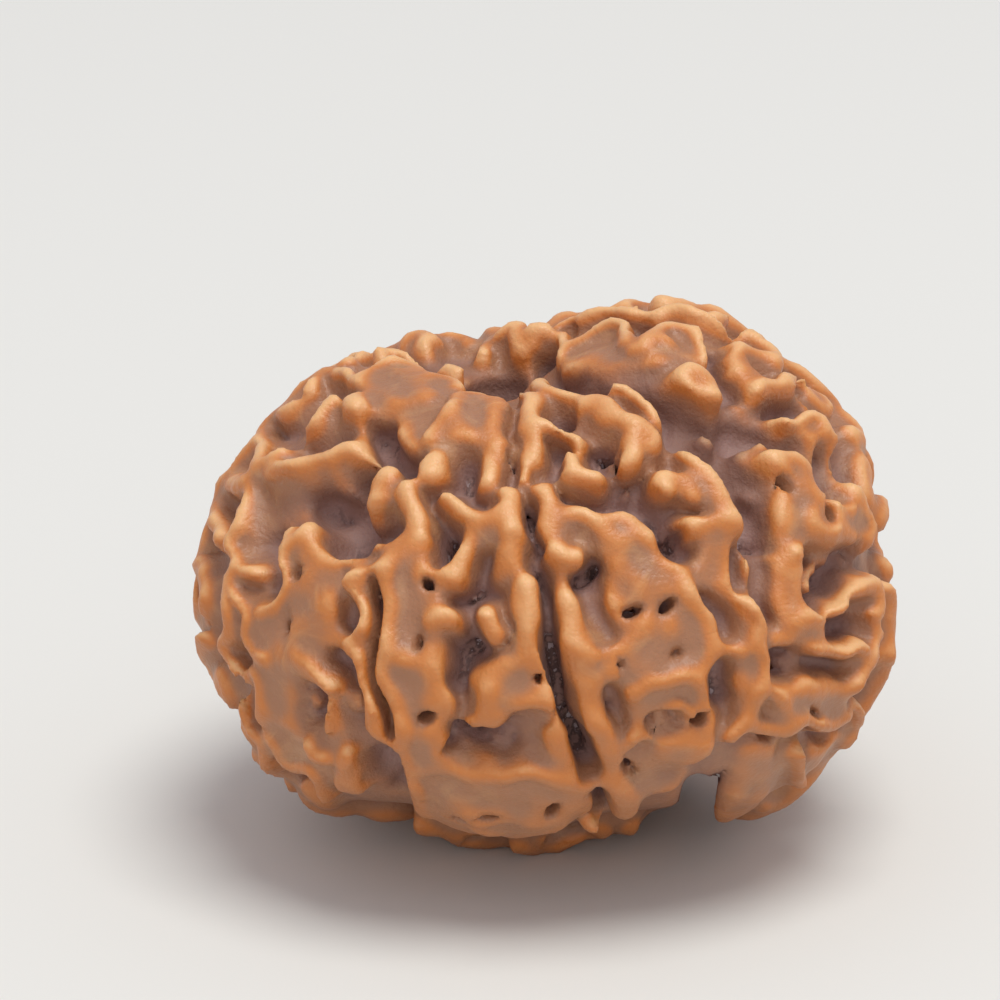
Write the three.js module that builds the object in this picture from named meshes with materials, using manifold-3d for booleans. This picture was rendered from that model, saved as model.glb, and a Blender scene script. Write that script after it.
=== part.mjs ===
// A rudraksha seed, about 30 mm across: a many-lobed stone whose surface is a carved net of
// ridges, arches, knobs, plates and pits. It is one closed solid that rests on a small flat.
// The form is one formula. Valleys are cut into a lobed body, ridges and plates are raised from
// it, cavities are cut out of these, small knobs are raised inside the cavities, and slits and
// pits are sunk last. Lengths are millimetres, +Z is up, and the viewer of the traced side is at -Y.

import * as THREE from "three";
import { mergeVertices } from "three/addons/utils/BufferGeometryUtils.js";
import Module from "manifold-3d";

// Driving dimensions, measured from the middle of the body.
const HALF_WIDTH = 14.9;
const HALF_DEPTH = 14.0;
const HALF_HEIGHT = 11.45;
const FLOOR_BELOW_MIDDLE = 10.95;
const BODY_SINK = 1.3;
const RIM_SINK = 0.5;
const GROWTH_AXIS = [-0.17, 0.03, 0.985];
const MESH_DETAIL = 23;

// The chart: where a viewer at this height and distance sees a point of the seed.
const VIEW_ELEVATION = 20;
const VIEW_DISTANCE = 220;

// Outline radii seen by that viewer, every 15 degrees anticlockwise from the right.
const OUTLINE = [
  15.0, 15.05, 15.05, 14.3, 14.05, 12.8, 11.5, 11.3, 12.3, 13.35, 13.85, 14.5,
  15.05, 14.9, 14.4, 13.6, 11.8, 11.6, 11.3, 10.9, 11.9, 13.6, 14.2, 15.05,
];

// Broad swellings of the envelope: direction, reach in degrees, height.
const SWELLINGS = [
  [[-0.16, 0.04, 1], 21, -1.5],
  [[0.15, 0.0, -1], 40, 0.45],
  [[0.75, -0.62, 0.1], 26, 0.25],
  [[-0.4, -0.9, -0.1], 30, 0.3],
];

// Valleys between the lobes: radius, depth of the bed below the envelope, chart points.
const VALLEYS = [
  [0.45, 1.5, [[-1.45, 8.2], [-1.5, 6.5], [-1.3, 5.0], [-0.9, 3.9], [-0.5, 2.4], [0.0, 0.6], [0.1, -1]]],
  [0.5, 2.2, [[0.1, -1], [0.3, -2.6], [0.75, -4.5], [1.15, -5.9], [1.65, -7.4], [2.3, -9.0],
    [2.7, -10.2]]],
  [0.4, 1.7, [[-7.0, 0.6], [-7.1, -1.0], [-7.2, -2.5], [-7.15, -4.0], [-6.8, -5.2], [-6.7, -6.8],
    [-6.6, -7.8], [-6.2, -9.4]]],
  [0.6, 2.3, [[0.5, 9.4], [1.6, 8.75], [2.8, 8.6], [4.9, 8.0], [6.0, 7.0], [7.0, 6.0], [7.9, 5.2],
    [8.6, 4.4], [9.0, 3.2], [9.4, 1.2], [9.6, -0.4]]],
  [0.4, 1.9, [[9.6, -0.4], [9.9, -2.0], [10.1, -3.4], [9.9, -5.0], [9.3, -6.1]]],
  [0.6, 2.0, [[-7.3, 7.2], [-6.9, 6.3], [-6.3, 5.6], [-5.8, 5.0]]],
  [0.6, 2.0, [[-5.2, 4.3], [-4.9, 3.4], [-4.3, 2.6], [-4.0, 1.7]]],
  [0.55, 2.2, [[-2.4, 1.3], [-2.7, 0.5], [-2.6, -0.2], [-3.1, -1.0], [-3.4, -2.0], [-3.5, -3.4],
    [-3.6, -4.3]]],
  [0.55, 1.7, [[1.2, 4.1], [2.5, 3.95], [4.0, 3.8], [5.0, 3.4], [5.6, 2.8], [5.6, 1.9]]],
  [0.5, 1.6, [[3.0, 6.2], [3.6, 5.1], [4.1, 4.6]]],
  [0.3, 1.3, [[-7.6, 9.65], [-6.9, 9.9], [-6.0, 9.98], [-5.2, 9.8], [-4.8, 9.4]]],
  [0.4, 1.5, [[12.0, 5.6], [12.2, 4.8], [12.4, 3.9]]],
  [0.35, 1.4, [[13.1, 5.8], [13.35, 5.0], [13.5, 4.3]]],
  [0.35, 1.4, [[10.0, 7.5], [10.5, 7.8], [11.2, 7.7]]],
  [0.35, 1.3, [[10.9, -6.2], [11.4, -6.25], [12.1, -6.6]]],
  [0.3, 1.3, [[-12.6, 4.3], [-13.2, 3.0], [-13.9, 1.6]]],
  [0.35, 1.5, [[2.0, 11.5], [3.4, 11.75], [4.1, 11.2], [5.0, 11.75], [6.8, 11.4], [7.5, 10.8],
    [8.8, 10.75]]],
];

// Cavities, cut out of the ridges and plates: radius, depth of the bed, chart points.
const CAVITIES = [
  [0.78, 2.6, [[-9.8, 3.9], [-9.0, 3.5], [-8.3, 3.9], [-8.0, 4.4]]],
  [0.88, 2.9, [[-8.7, 3.0], [-8.6, 2.3]]],
  [0.38, 2.2, [[-7.6, 2.75], [-6.7, 2.6]]],
  [0.4, 1.9, [[-12.2, 2.2], [-11.75, 1.2], [-11.7, 0.2]]],
  [0.33, 1.4, [[-8.4, -1.0], [-8.5, -1.7]]],
  [0.33, 1.5, [[-9.1, -3.3], [-8.6, -3.8]]],
  [0.5, 2.2, [[-7.3, 7.0], [-7.0, 6.2], [-6.4, 5.7], [-5.9, 5.0]]],
  [0.33, 1.5, [[-10.3, 6.1], [-9.3, 6.2]]],
  [0.33, 1.2, [[-10.9, 7.0], [-9.9, 7.9], [-9.0, 8.6], [-8.3, 8.0]]],
  [0.3, 1.4, [[-7.5, 9.65], [-6.9, 9.85], [-6.0, 9.95], [-5.2, 9.8], [-4.8, 9.4]]],
  [0.5, 2.3, [[-3.6, 5.2], [-3.4, 4.5], [-2.7, 3.95]]],
  [0.35, 1.7, [[-4.9, 3.7], [-4.75, 2.9]]],
  [0.44, 2.6, [[-4.1, 2.5], [-3.95, 1.9], [-4.0, 1.4]]],
  [0.4, 2.3, [[-2.5, 1.1], [-2.7, 0.4], [-2.7, -0.3]]],
  [0.33, 2.1, [[-2.2, -0.2], [-1.85, -0.9], [-1.65, -1.8]]],
  [0.43, 2.2, [[-3.5, -0.7], [-3.35, -1.6]]],
  [0.68, 2.6, [[-3.2, -2.3], [-2.5, -2.8]]],
  [0.43, 2.3, [[-3.5, -3.4], [-3.45, -4.2]]],
  [0.36, 2.3, [[2.05, 0.75], [1.75, 0.3]]],
  [0.35, 1.2, [[1.95, -0.4], [2.1, -1.3], [2.7, -2.2]]],
  [0.38, 1.9, [[1.2, 3.95], [2.2, 3.75], [3.6, 3.85], [4.6, 3.3], [5.2, 2.8]]],
  [0.43, 2.7, [[5.5, 2.3], [5.6, 1.8]]],
  [0.33, 1.9, [[5.2, 3.6], [6.2, 3.6]]],
  [0.4, 2.4, [[2.3, 5.9], [2.7, 5.4], [2.9, 4.9]]],
  [0.3, 1.7, [[0.4, 6.0], [0.45, 5.1]]],
  [0.38, 2, [[3.4, 4.7], [4.0, 4.6]]],
  [0.85, 2.3, [[6.0, 7.2], [7.2, 6.6], [8.0, 5.6], [8.6, 4.8]]],
  [0.78, 2.4, [[8.4, 7.0], [9.2, 6.6]]],
  [0.45, 2.3, [[9.0, 4.0], [9.2, 3.0], [9.4, 2.2]]],
  [0.3, 1.5, [[9.4, 1.0], [9.5, -0.2], [9.75, -1.4]]],
  [0.48, 2.7, [[1.4, 8.95], [2.5, 8.8], [3.8, 8.75], [4.9, 8.2], [5.4, 7.8]]],
  [0.36, 1.5, [[4.05, 11.3], [4.15, 10.9]]],
  [0.3, 1.9, [[7.45, 10.3], [7.4, 9.4]]],
  [0.38, 1.7, [[8.0, 8.8], [8.4, 8.1]]],
  [0.28, 1.3, [[2.2, 11.5], [3.3, 11.75], [4.3, 11.75], [5.4, 11.75], [6.8, 11.4], [7.6, 11.0],
    [8.8, 10.75]]],
  [0.41, 1.7, [[12.1, 5.4], [12.25, 4.6], [12.4, 4.0]]],
  [0.36, 1.6, [[13.2, 5.4], [13.4, 4.6]]],
  [0.33, 1.8, [[10.15, 7.55], [10.6, 7.75], [11.1, 7.75]]],
  [0.26, 1.6, [[9.9, 6.15], [10.8, 6.15]]],
  [0.28, 2.1, [[11.5, 1.05], [12.4, 0.95], [13.5, 1.15]]],
  [0.5, 2.5, [[12.7, 0.6], [12.1, 0.25], [11.65, -0.3]]],
  [0.25, 1.9, [[12.3, -1.95], [12.9, -1.75], [13.6, -1.85]]],
  [0.42, 2.5, [[10.2, -3.4], [10.6, -3.35]]],
  [0.18, 1.7, [[11.3, -3.6], [12.9, -3.55]]],
  [0.32, 1.2, [[7.1, -0.5], [7.7, -1.1], [7.8, -1.9]]],
  [0.33, 1.8, [[7.65, -3.7], [7.7, -4.8]]],
  [0.21, 1.5, [[8.3, 1.4], [8.25, 0.6], [8.5, 0.0]]],
  [0.38, 1.9, [[-7.3, -7.9], [-6.9, -8.7]]],
  [0.33, 1.5, [[-10.9, -8.35], [-10.1, -8.6]]],
  [0.35, 2.4, [[-3.5, -6.6], [-2.7, -6.75], [-1.8, -7.0]]],
  [0.42, 2.1, [[-10.0, -4.9], [-10.0, -5.4]]],
  [0.38, 2.1, [[-8.2, -4.9], [-8.2, -5.5]]],
  [0.4, 1.8, [[4.85, -5.95], [5.25, -6.0]]],
  [0.35, 1.0, [[-1.4, -5.8], [-0.2, -5.8]]],
  [0.38, 1.5, [[0.45, 7.3], [0.75, 7.4]]],
  [0.25, 1.1, [[2.95, -4.9], [3.2, -5.8]]],
  [0.3, 1.2, [[14.6, 0.6], [14.0, 0.6]]],
  [0.35, 1.3, [[13.9, -4.6], [13.2, -4.6]]],
];

// Small forms that stand in the cavities: radius, depth of the crest, chart points.
const INNER_KNOBS = [
  [0.2, 0.1, [[2.85, 8.5], [3.3, 8.5], [3.9, 8.15], [4.5, 7.65], [5.0, 7.05]]],
  [0.72, 0.1, [[-7.05, 4.55], [-7.15, 3.95]]],
  [0.52, 0.05, [[-5.8, 4.0], [-5.75, 3.3], [-5.6, 2.6]]],
  [0.64, 0.0, [[-4.95, 5.5], [-4.95, 5.15]]],
  [0.45, 0.4, [[-2.25, 5.5], [-2.25, 4.5]]],
  [0.4, 0.05, [[-4.15, 3.85], [-3.8, 3.35], [-3.3, 3.05], [-2.8, 2.8], [-2.2, 2.75], [-1.7, 3.2]]],
  [0.48, 0.2, [[-3.0, 2.4], [-2.5, 2.2], [-1.9, 2.3]]],
  [0.42, 0.15, [[-3.15, 2.3], [-3.35, 1.5], [-3.65, 0.85], [-4.0, 0.55]]],
  [0.5, 0.0, [[-1.5, 3.9], [-1.45, 3.2], [-1.5, 2.4]]],
  [0.6, 0.1, [[-1.5, 2.2], [-1.4, 1.4], [-1.55, 0.5, 0.3]]],
  [0.74, -0.1, [[-0.85, -0.35], [-0.83, -0.8]]],
  [0.62, 0.0, [[-0.7, -1.2], [-0.6, -2.0], [-0.65, -2.9]]],
  [0.45, 0.05, [[-4.95, -1.55], [-4.25, -1.5]]],
  [0.4, 0.05, [[-2.6, -1.2], [-2.35, -1.75], [-1.95, -2.15]]],
  [0.48, 0.0, [[-1.5, -3.4], [-2.1, -3.95], [-2.5, -4.5], [-2.55, -5.1], [-2.2, -5.6]]],
  [0.55, 0.0, [[3.65, 6.2], [3.65, 5.6]]],
  [0.36, 0.0, [[4.35, 6.75], [4.55, 6.4], [4.5, 6.0]]],
  [0.5, 0.05, [[1.35, 4.75], [2.2, 4.7]]],
  [0.28, 0.1, [[1.0, 5.5], [1.2, 5.0]]],
  [0.48, 0.0, [[5.3, 4.65], [5.35, 4.35]]],
  [0.55, 0.0, [[6.35, 4.5], [6.6, 4.2]]],
  [0.5, 0.0, [[6.3, 2.6], [7.1, 2.6], [7.8, 2.5]]],
  [0.5, 0.0, [[0.75, 1.5], [0.75, 1.25], [1.3, 1.25]]],
  [0.35, 1.2, [[8.2, 7.45], [8.5, 7.3]]],
  [0.32, 1.3, [[6.85, 6.2], [7.0, 6.1]]],
  [0.4, 1.0, [[8.65, 5.65], [8.9, 5.5], [9.3, 5.7]]],
  [0.4, 1.6, [[8.7, 3.9], [9.2, 3.7]]],
  [0.18, 1.2, [[2.35, 5.45], [2.8, 5.8]]],
  [0.2, 1.2, [[3.6, 3.8]]],
  [0.2, 1.0, [[11.6, 0.7], [11.35, 0.3], [11.2, -0.1]]],
  [0.2, 1.1, [[11.5, 1.2], [12.0, 1.2]]],
  [0.2, 1.3, [[12.6, 1.0], [12.9, 0.9], [13.3, 1.2]]],
  [0.19, 1.2, [[13.1, -1.4], [13.1, -2.0]]],
  [0.19, 1.2, [[10.3, -3.1], [10.9, -3.5]]],
  [0.2, 1.5, [[-5.2, 3.4], [-5.1, 3.1]]],
  [0.18, 1.3, [[-2.1, -6.5], [-1.8, -6.75], [-1.5, -6.4]]],
  [0.2, 1.3, [[-3.4, -6.55], [-3.3, -6.7]]],
  [0.17, 0.9, [[-10.5, -4.9], [-10.0, -4.7], [-9.8, -5.1], [-10.3, -5.5]]],
  [0.17, 0.9, [[-8.4, -4.8], [-8.0, -4.75], [-7.9, -5.2], [-8.3, -5.4], [-8.4, -5.0]]],
  [0.17, 0.8, [[4.7, -5.9], [4.95, -5.6], [5.3, -5.85], [5.2, -6.25], [4.85, -6.3]]],
  [0.2, 0.9, [[5.5, -6.2]]],
];

// Ridges: radius, depth of the crest below the envelope, chart points, and how much the flanks
// spread, where that isn't the usual. A third value on a point is a further depth there.
const RIDGES = [
  // Crests behind the pole pit.
  [0.4, 0.1, [[-5.0, 10.6], [-4.5, 10.7], [-4.1, 10.8], [-3.5, 10.7], [-3.1, 10.3, 0.3]], 0.8],
  [0.34, 0.1, [[-2.55, 10.1], [-2.5, 10.45], [-2.1, 10.75]]],
  [0.42, -0.6, [[-1.9, 10.9, 0.2], [-1.3, 11.25], [-1.2, 10.6, 0.4], [-1.0, 9.9, 0.9]]],
  [0.42, -0.65, [[-0.5, 11.15], [-0.2, 11.2]]],
  [0.4, 0.2, [[-0.9, 10.2, 0.2], [-0.2, 10.35], [0.4, 10.9]]],
  [0.23, 0.1, [[0.8, 11.2], [0.75, 10.6], [0.5, 10.0]]],
  // Arches and folds of the upper left lobes, which stand one behind the other.
  [0.38, 0.0, [[-12.3, 5.1], [-12.3, 6.4], [-12.0, 7.1], [-11.2, 7.65], [-10.6, 8.0], [-10.2, 8.5],
    [-9.8, 9.0],
    [-9.2, 9.3], [-8.6, 9.35]], 0.4],
  [0.35, 0.05, [[-9.0, 9.2], [-8.5, 9.2], [-8.2, 8.8], [-8.0, 8.2], [-7.6, 7.6]], 0.4],
  [0.35, 0.1, [[-11.8, 5.25], [-11.2, 5.9], [-10.65, 6.2], [-10.3, 6.8], [-9.8, 7.3], [-9.35, 7.95],
    [-8.95, 8.15], [-8.5, 8.05], [-8.2, 7.6], [-7.65, 7.2]], 0.5],
  [0.29, 0.2, [[-7.55, 7.1], [-7.6, 6.6]]],
  [0.44, 0.0, [[-12.2, 4.6, 0.3], [-11.9, 4.95], [-11.0, 5.2], [-10.3, 5.5], [-9.3, 5.65], [-8.8, 5.95],
    [-8.3, 6.05], [-7.9, 5.85], [-7.5, 5.5], [-7.1, 5.1], [-6.6, 5.05], [-6.2, 4.85], [-5.8, 4.5]], 0.75],
  [0.4, 0.0, [[-7.3, 10.2], [-6.6, 10.5], [-5.8, 10.65], [-5.3, 10.45]], 0.5],
  [0.29, 0.0, [[-7.1, 10.0], [-6.4, 10.2], [-5.5, 10.1], [-4.9, 9.9], [-4.2, 9.55], [-3.6, 9.2]], 0.4],
  [0.34, 0.05, [[-7.6, 9.2], [-7.0, 9.5], [-6.2, 9.65], [-5.7, 9.55], [-5.2, 9.3], [-4.9, 9.0]]],
  [0.4, 0.1, [[-4.8, 8.9], [-4.1, 8.9], [-3.7, 8.6]]],
  // Left lobe.
  [0.4, 0.0, [[-14.2, 2.2], [-14.25, 3.1], [-14.15, 3.9], [-13.9, 4.4], [-13.4, 4.5],
    [-12.9, 4.45]], 0.3],
  [0.34, 0.0, [[-12.8, 4.4], [-13.0, 3.6], [-13.3, 2.6], [-13.6, 1.8], [-13.4, 1.0], [-13.7, 0.2],
    [-13.75, -0.5], [-13.6, -1.3], [-13.65, -2.2], [-13.9, -2.8], [-13.7, -3.4], [-13.3, -4.0],
    [-13.2, -4.6], [-13.1, -5.5], [-12.8, -6.2], [-12.2, -6.7], [-12.0, -7.3], [-11.9, -8.0]], 0.25],
  [0.29, 0.05, [[-13.5, -0.1], [-13.1, -0.8], [-12.95, -1.4], [-13.05, -2.2], [-12.6, -2.9],
    [-12.0, -3.2]]],
  [0.25, 0.1, [[-11.1, 2.3], [-11.25, 1.7], [-11.35, 1.0], [-11.4, 0.2], [-11.5, -0.4], [-11.8, -0.8],
    [-12.4, -1.1]], 0.15],
  [0.29, 0.1, [[-9.8, 2.9], [-10.3, 2.4], [-10.9, 1.8]], 0.25],
  [0.32, 0.15, [[-9.7, 2.8], [-9.6, 2.0], [-9.2, 1.45], [-8.5, 1.1], [-7.9, 1.0]], 0.15],
  [0.32, 0.1, [[-13.1, 0.7], [-12.6, 0.75], [-12.2, 0.7]]],
  [0.34, -0.1, [[-7.05, 0.6], [-7.8, 0.5], [-8.35, 0.2], [-8.45, -0.15], [-8.2, -0.6], [-7.9, -1.1],
    [-7.9, -1.7], [-8.3, -2.1], [-8.65, -2.55], [-8.6, -2.8], [-8.3, -3.1], [-7.95, -3.6], [-7.7, -4.3],
    [-7.5, -5.0], [-7.65, -5.6], [-7.7, -6.2], [-7.2, -6.5]], 0.15],
  [0.25, 0.1, [[-13.0, -4.3], [-12.6, -3.75], [-12.2, -4.2], [-12.1, -5.0], [-12.2, -5.7]]],
  [0.29, 0.1, [[-10.7, -3.0], [-10.1, -3.5], [-9.6, -4.1], [-9.1, -4.6], [-8.7, -4.65],
    [-8.4, -4.4]], 0.4],
  [0.29, 0.2, [[-9.4, -5.2], [-9.3, -6.2]]],
  [0.34, 0.0, [[-11.9, -6.6], [-11.6, -7.1], [-11.4, -7.6], [-10.9, -7.95], [-10.2, -8.0], [-9.85, -8.4],
    [-9.6, -9.4]], 0.15],
  [0.34, 0.1, [[-10.2, -6.9], [-10.0, -7.3], [-9.4, -7.5]]],
  [0.29, 0.15, [[-8.4, -7.5], [-8.6, -8.9]]],
  [0.7, 0.2, [[-8.1, -8.8]]],
  // Middle left lobe.
  [0.34, 0.05, [[-3.6, 8.1], [-4.1, 7.5], [-4.6, 6.9], [-4.8, 6.5]], 0.2],
  [0.34, 0.1, [[-3.5, 8.25], [-3.0, 8.3], [-2.4, 8.1], [-2.2, 7.0], [-2.15, 6.1]], 0.15],
  [0.46, 0.5, [[-2.25, 5.6], [-2.3, 4.7, 0.2]], 0.15],
  [0.67, 0.05, [[-4.93, 5.5], [-4.95, 5.0, 0.1]], 0.15],
  [0.52, 0.0, [[-7.0, 4.7], [-7.35, 4.1], [-7.1, 3.7]], 0.2],
  [0.57, 0.0, [[-5.85, 4.05], [-5.8, 3.4], [-5.6, 2.7], [-5.3, 2.2]], 0.2],
  [0.23, 0.1, [[-7.6, 2.1], [-7.1, 2.0], [-6.2, 2.05]], 0.45],
  [0.52, 0.0, [[-6.85, 0.8], [-6.5, 1.4], [-5.9, 1.75], [-5.2, 2.0], [-4.8, 1.8], [-4.5, 1.3],
    [-4.1, 0.75],
    [-3.85, 0.7]], 0.15],
  [0.4, 0.0, [[-6.8, 0.8], [-6.8, -0.3], [-6.85, -1.4], [-7.0, -2.5], [-7.05, -3.4], [-6.8, -4.2],
    [-6.45, -5.0], [-6.35, -6.2], [-6.3, -7.3], [-5.9, -8.5], [-5.5, -9.3], [-5.2, -10.0]], 0.15],
  [0.44, 0.05, [[-4.3, 3.9], [-4.1, 3.5], [-3.7, 3.3], [-3.2, 3.1], [-2.7, 3.0], [-2.2, 3.1]], 0.3],
  [0.48, 0.1, [[-3.25, 2.6], [-3.25, 1.9], [-3.45, 1.2], [-3.75, 0.7]], 0.15],
  [0.55, 0.0, [[-1.5, 3.95], [-1.5, 3.2], [-1.3, 2.5]], 0.15],
  [0.69, 0.15, [[-1.5, 2.2], [-1.45, 1.4], [-1.6, 0.6, 0.3]], 0.15],
  [0.46, 0.05, [[-2.6, -1.1], [-2.35, -1.8], [-2.0, -2.2]], 0.15],
  [0.52, 0.05, [[-4.6, -1.5], [-4.2, -1.5]]],
  [0.4, 0.2, [[-6.3, -3.1], [-5.9, -3.15]], 0.45],
  [0.7, -0.05, [[-0.83, -0.25], [-0.83, -0.9]], 0.15],
  [0.67, 0.0, [[-0.75, -1.0], [-0.6, -2.0], [-0.65, -2.9]], 0.15],
  [0.48, 0.0, [[-1.5, -3.3], [-2.1, -3.75], [-2.6, -4.3], [-2.7, -5.0], [-2.5, -5.7],
    [-2.2, -5.95]], 0.15],
  [0.34, 0.1, [[0.0, -2.6], [0.0, -3.4], [0.2, -4.4], [0.35, -5.1]], 0.15],
  [0.34, 0.1, [[-3.1, -6.05], [-3.7, -6.5], [-4.3, -7.0], [-4.6, -7.5]], 0.2],
  [0.4, 0.1, [[-5.2, -8.1], [-4.0, -8.1], [-2.0, -8.3], [0.0, -8.2], [1.0, -8.3]], 0.5],
  [0.34, 0.1, [[-3.2, -9.9], [-2.9, -10.5], [-2.1, -10.8]], 0.45],
  [0.48, 0.0, [[2.2, -10.5]]],
  // Lips and finger beside the middle suture.
  [0.11, 0.2, [[-0.95, 8.2], [-0.9, 7.0], [-0.95, 5.6], [-0.8, 4.6]]],
  [0.14, 0.3, [[-1.9, 8.0], [-1.85, 6.6], [-1.7, 5.6]]],
  [0.4, 0.05, [[-0.5, 8.2], [-0.55, 7.3], [-0.45, 6.5], [-0.3, 5.6]], 0.25],
  [0.69, 0.0, [[0.12, 4.15], [0.1, 3.4], [0.2, 2.7]], 0.15],
  [0.57, 0.0, [[0.75, 1.4, 0.0]], 0.15],
  [0.34, 0.0, [[0.65, 1.75], [1.1, 1.4], [1.5, 1.35]], 0.25],
  [0.52, 0.3, [[0.85, 0.6], [0.8, -0.3, 0.1]], 0.15],
  [0.52, 0.05, [[0.95, -0.7], [1.1, -1.4], [1.35, -2.1], [1.7, -2.6]], 0.15],
  [0.7, 0.0, [[1.6, -2.7], [1.65, -3.6], [1.8, -4.6], [1.95, -5.6], [2.3, -6.6], [2.6, -7.5],
    [2.85, -8.4],
    [3.25, -9.3], [3.6, -9.9, 0.2]], 0.15],
  [0.29, 0.1, [[1.1, -0.4], [1.35, -1.0], [1.4, -1.5], [1.7, -1.95], [2.15, -2.4], [2.3, -2.9]], 0.15],
  [0.48, 0.1, [[2.2, -4.0], [2.85, -3.95]], 0.15],
  [0.23, 0.25, [[2.95, -7.15], [3.4, -6.95], [3.75, -6.55]]],
  // Right middle lobe.
  [0.4, 0.05, [[-0.5, 8.95], [0.2, 8.55], [1.0, 8.2]], 0.25],
  [0.52, 0.0, [[1.2, 8.0], [1.8, 8.05], [2.4, 7.8], [3.0, 7.3], [3.6, 6.95], [4.0, 6.9]], 0.45],
  [0.4, 0.0, [[4.1, 6.9], [4.5, 6.5], [4.5, 6.1, 0.2]], 0.15],
  [0.57, 0.0, [[3.6, 6.6], [3.6, 6.0], [3.65, 5.5, 0.2]], 0.15],
  [0.34, 0.05, [[0.0, 7.1], [0.5, 6.75], [1.0, 6.6], [1.35, 6.4], [1.6, 6.0]], 0.5],
  [0.48, 0.0, [[1.25, 4.8], [1.7, 4.75], [2.25, 4.7]], 0.15],
  [0.25, 0.1, [[1.0, 5.6], [1.15, 5.2]], 0.3],
  [0.44, 0.0, [[0.95, 3.15], [1.5, 3.05], [2.0, 2.8], [2.6, 2.35], [3.1, 2.0], [3.4, 1.9],
    [3.4, 1.4, 0.2]], 0.45],
  [0.44, 0.0, [[2.75, 3.1], [3.3, 3.1], [3.8, 2.65], [4.4, 2.15], [4.95, 1.9], [5.1, 1.5], [5.5, 1.0],
    [6.0, 0.6], [6.15, 0.1], [6.25, -0.4], [6.6, -0.95], [7.0, -1.5], [7.2, -2.3], [7.2, -2.9],
    [6.95, -3.6]],
    0.3],
  [0.17, 0.25, [[5.2, -1.75]]],
  [0.34, 0.25, [[4.2, -1.5], [4.0, -2.1], [3.2, -2.6]], 0.45],
  [0.44, 0.0, [[4.3, 4.7, 0.2], [4.7, 4.8], [5.2, 4.65], [5.7, 4.55], [6.2, 4.7], [6.7, 4.65], [7.0, 4.3],
    [7.4, 3.8]], 0.3],
  [0.46, 0.0, [[6.0, 2.75], [6.6, 2.9], [7.2, 2.9], [7.8, 2.8]], 0.3],
  [0.23, 0.0, [[5.8, 5.8, 0.3], [6.3, 5.5], [6.8, 5.0], [7.2, 4.5], [7.7, 4.0], [8.05, 3.5], [8.2, 2.9],
    [8.25, 2.3], [8.45, 1.8], [8.9, 1.2], [9.0, 0.6], [9.0, -0.2], [9.1, -1.0], [9.4, -1.8]], 0.15],
  [0.34, 0.05, [[9.1, -2.2], [9.2, -2.8], [9.45, -3.3], [9.5, -4.2], [9.1, -5.1], [8.9, -5.9],
    [8.3, -6.5]], 0.15],
  [0.29, 0.1, [[8.1, 0.9, 0.3], [8.1, 0.3], [8.4, -0.25], [8.8, -0.7], [9.0, -1.2]], 0.3],
  [0.29, 0.15, [[7.6, -2.65], [8.0, -2.7], [8.4, -3.1]], 0.45],
  [0.34, 0.0, [[3.2, -5.2], [3.8, -4.7], [4.6, -4.2], [5.6, -4.0], [6.4, -4.0], [6.9, -4.3], [7.2, -4.9],
    [7.3, -5.3]], 0.35],
  [0.23, 0.1, [[5.5, -5.3], [6.2, -5.8]], 0.25],
  // Crests and folds of the top right lobe.
  [0.34, 0.1, [[0.75, 10.3], [1.3, 10.6], [2.0, 11.0], [2.8, 11.3], [3.25, 11.3], [3.4, 11.0],
    [3.5, 10.6]], 0.65],
  [0.34, 0.15, [[3.6, 10.3], [4.0, 10.35], [4.4, 10.55], [5.2, 10.6]], 0.6],
  [0.37, 0.05, [[4.75, 10.9], [4.95, 11.25], [5.6, 11.3], [6.4, 11.05], [6.8, 10.75], [7.05, 10.4],
    [7.0, 9.9, 0.2]], 0.55],
  [0.4, 0.0, [[0.5, 11.2], [1.2, 11.4], [2.0, 11.65], [3.0, 11.9], [4.4, 11.9], [5.4, 12.0], [6.2, 11.85],
    [7.4, 11.5], [8.6, 11.05], [9.4, 10.4], [10.0, 9.7]], 0.15],
  [0.52, 0.0, [[6.4, 9.35], [6.8, 9.2], [7.2, 8.85], [7.35, 8.4]], 0.25],
  [0.45, 0.0, [[7.7, 9.6, 0.2], [7.95, 10.3], [8.5, 10.4], [9.2, 10.05], [9.9, 9.6]], 0.5],
  [0.34, 0.0, [[9.1, 8.6], [9.4, 8.75], [10.0, 8.85], [10.6, 8.9], [11.2, 8.8]], 0.45],
  [0.29, 0.05, [[10.65, 8.6], [10.75, 8.2], [11.1, 8.0], [11.5, 8.1]]],
  [0.4, 0.0, [[10.2, 7.1], [10.6, 7.2], [11.1, 7.45], [11.5, 7.5], [11.9, 7.25], [12.15, 6.8],
    [12.35, 6.2], [12.4, 5.6]], 0.3],
  [0.29, 0.0, [[12.6, 6.2], [12.7, 5.5], [12.85, 4.7], [13.0, 4.3], [13.5, 4.0]], 0.2],
  [0.34, 0.0, [[13.1, 4.2], [13.6, 3.7], [14.05, 3.0], [14.15, 2.4], [14.05, 1.8]], 0.25],
  [0.32, 0.0, [[12.1, 3.8], [12.4, 3.5], [12.8, 3.45], [13.3, 3.3]], 0.35],
  [0.52, 0.0, [[9.8, 5.4], [10.4, 5.5], [10.9, 5.45], [11.25, 5.2], [11.4, 4.7], [11.6, 4.1]], 0.2],
  // Right lobe.
  [0.32, 0.0, [[11.5, 3.2], [11.6, 2.8], [12.0, 2.5], [12.5, 2.4]], 0.35],
  [0.32, 0.1, [[10.9, 1.3], [11.6, 1.6], [12.6, 1.55], [13.5, 1.6], [14.0, 1.7]], 0.25],
  [0.46, 0.0, [[11.0, -1.6, 0.2], [11.9, -1.25], [12.7, -0.75], [13.5, -0.15], [14.2, 0.1]], 0.25],
  [0.34, 0.0, [[11.3, -3.2], [12.0, -3.0], [13.0, -2.9], [13.8, -2.9]], 0.4],
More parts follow.
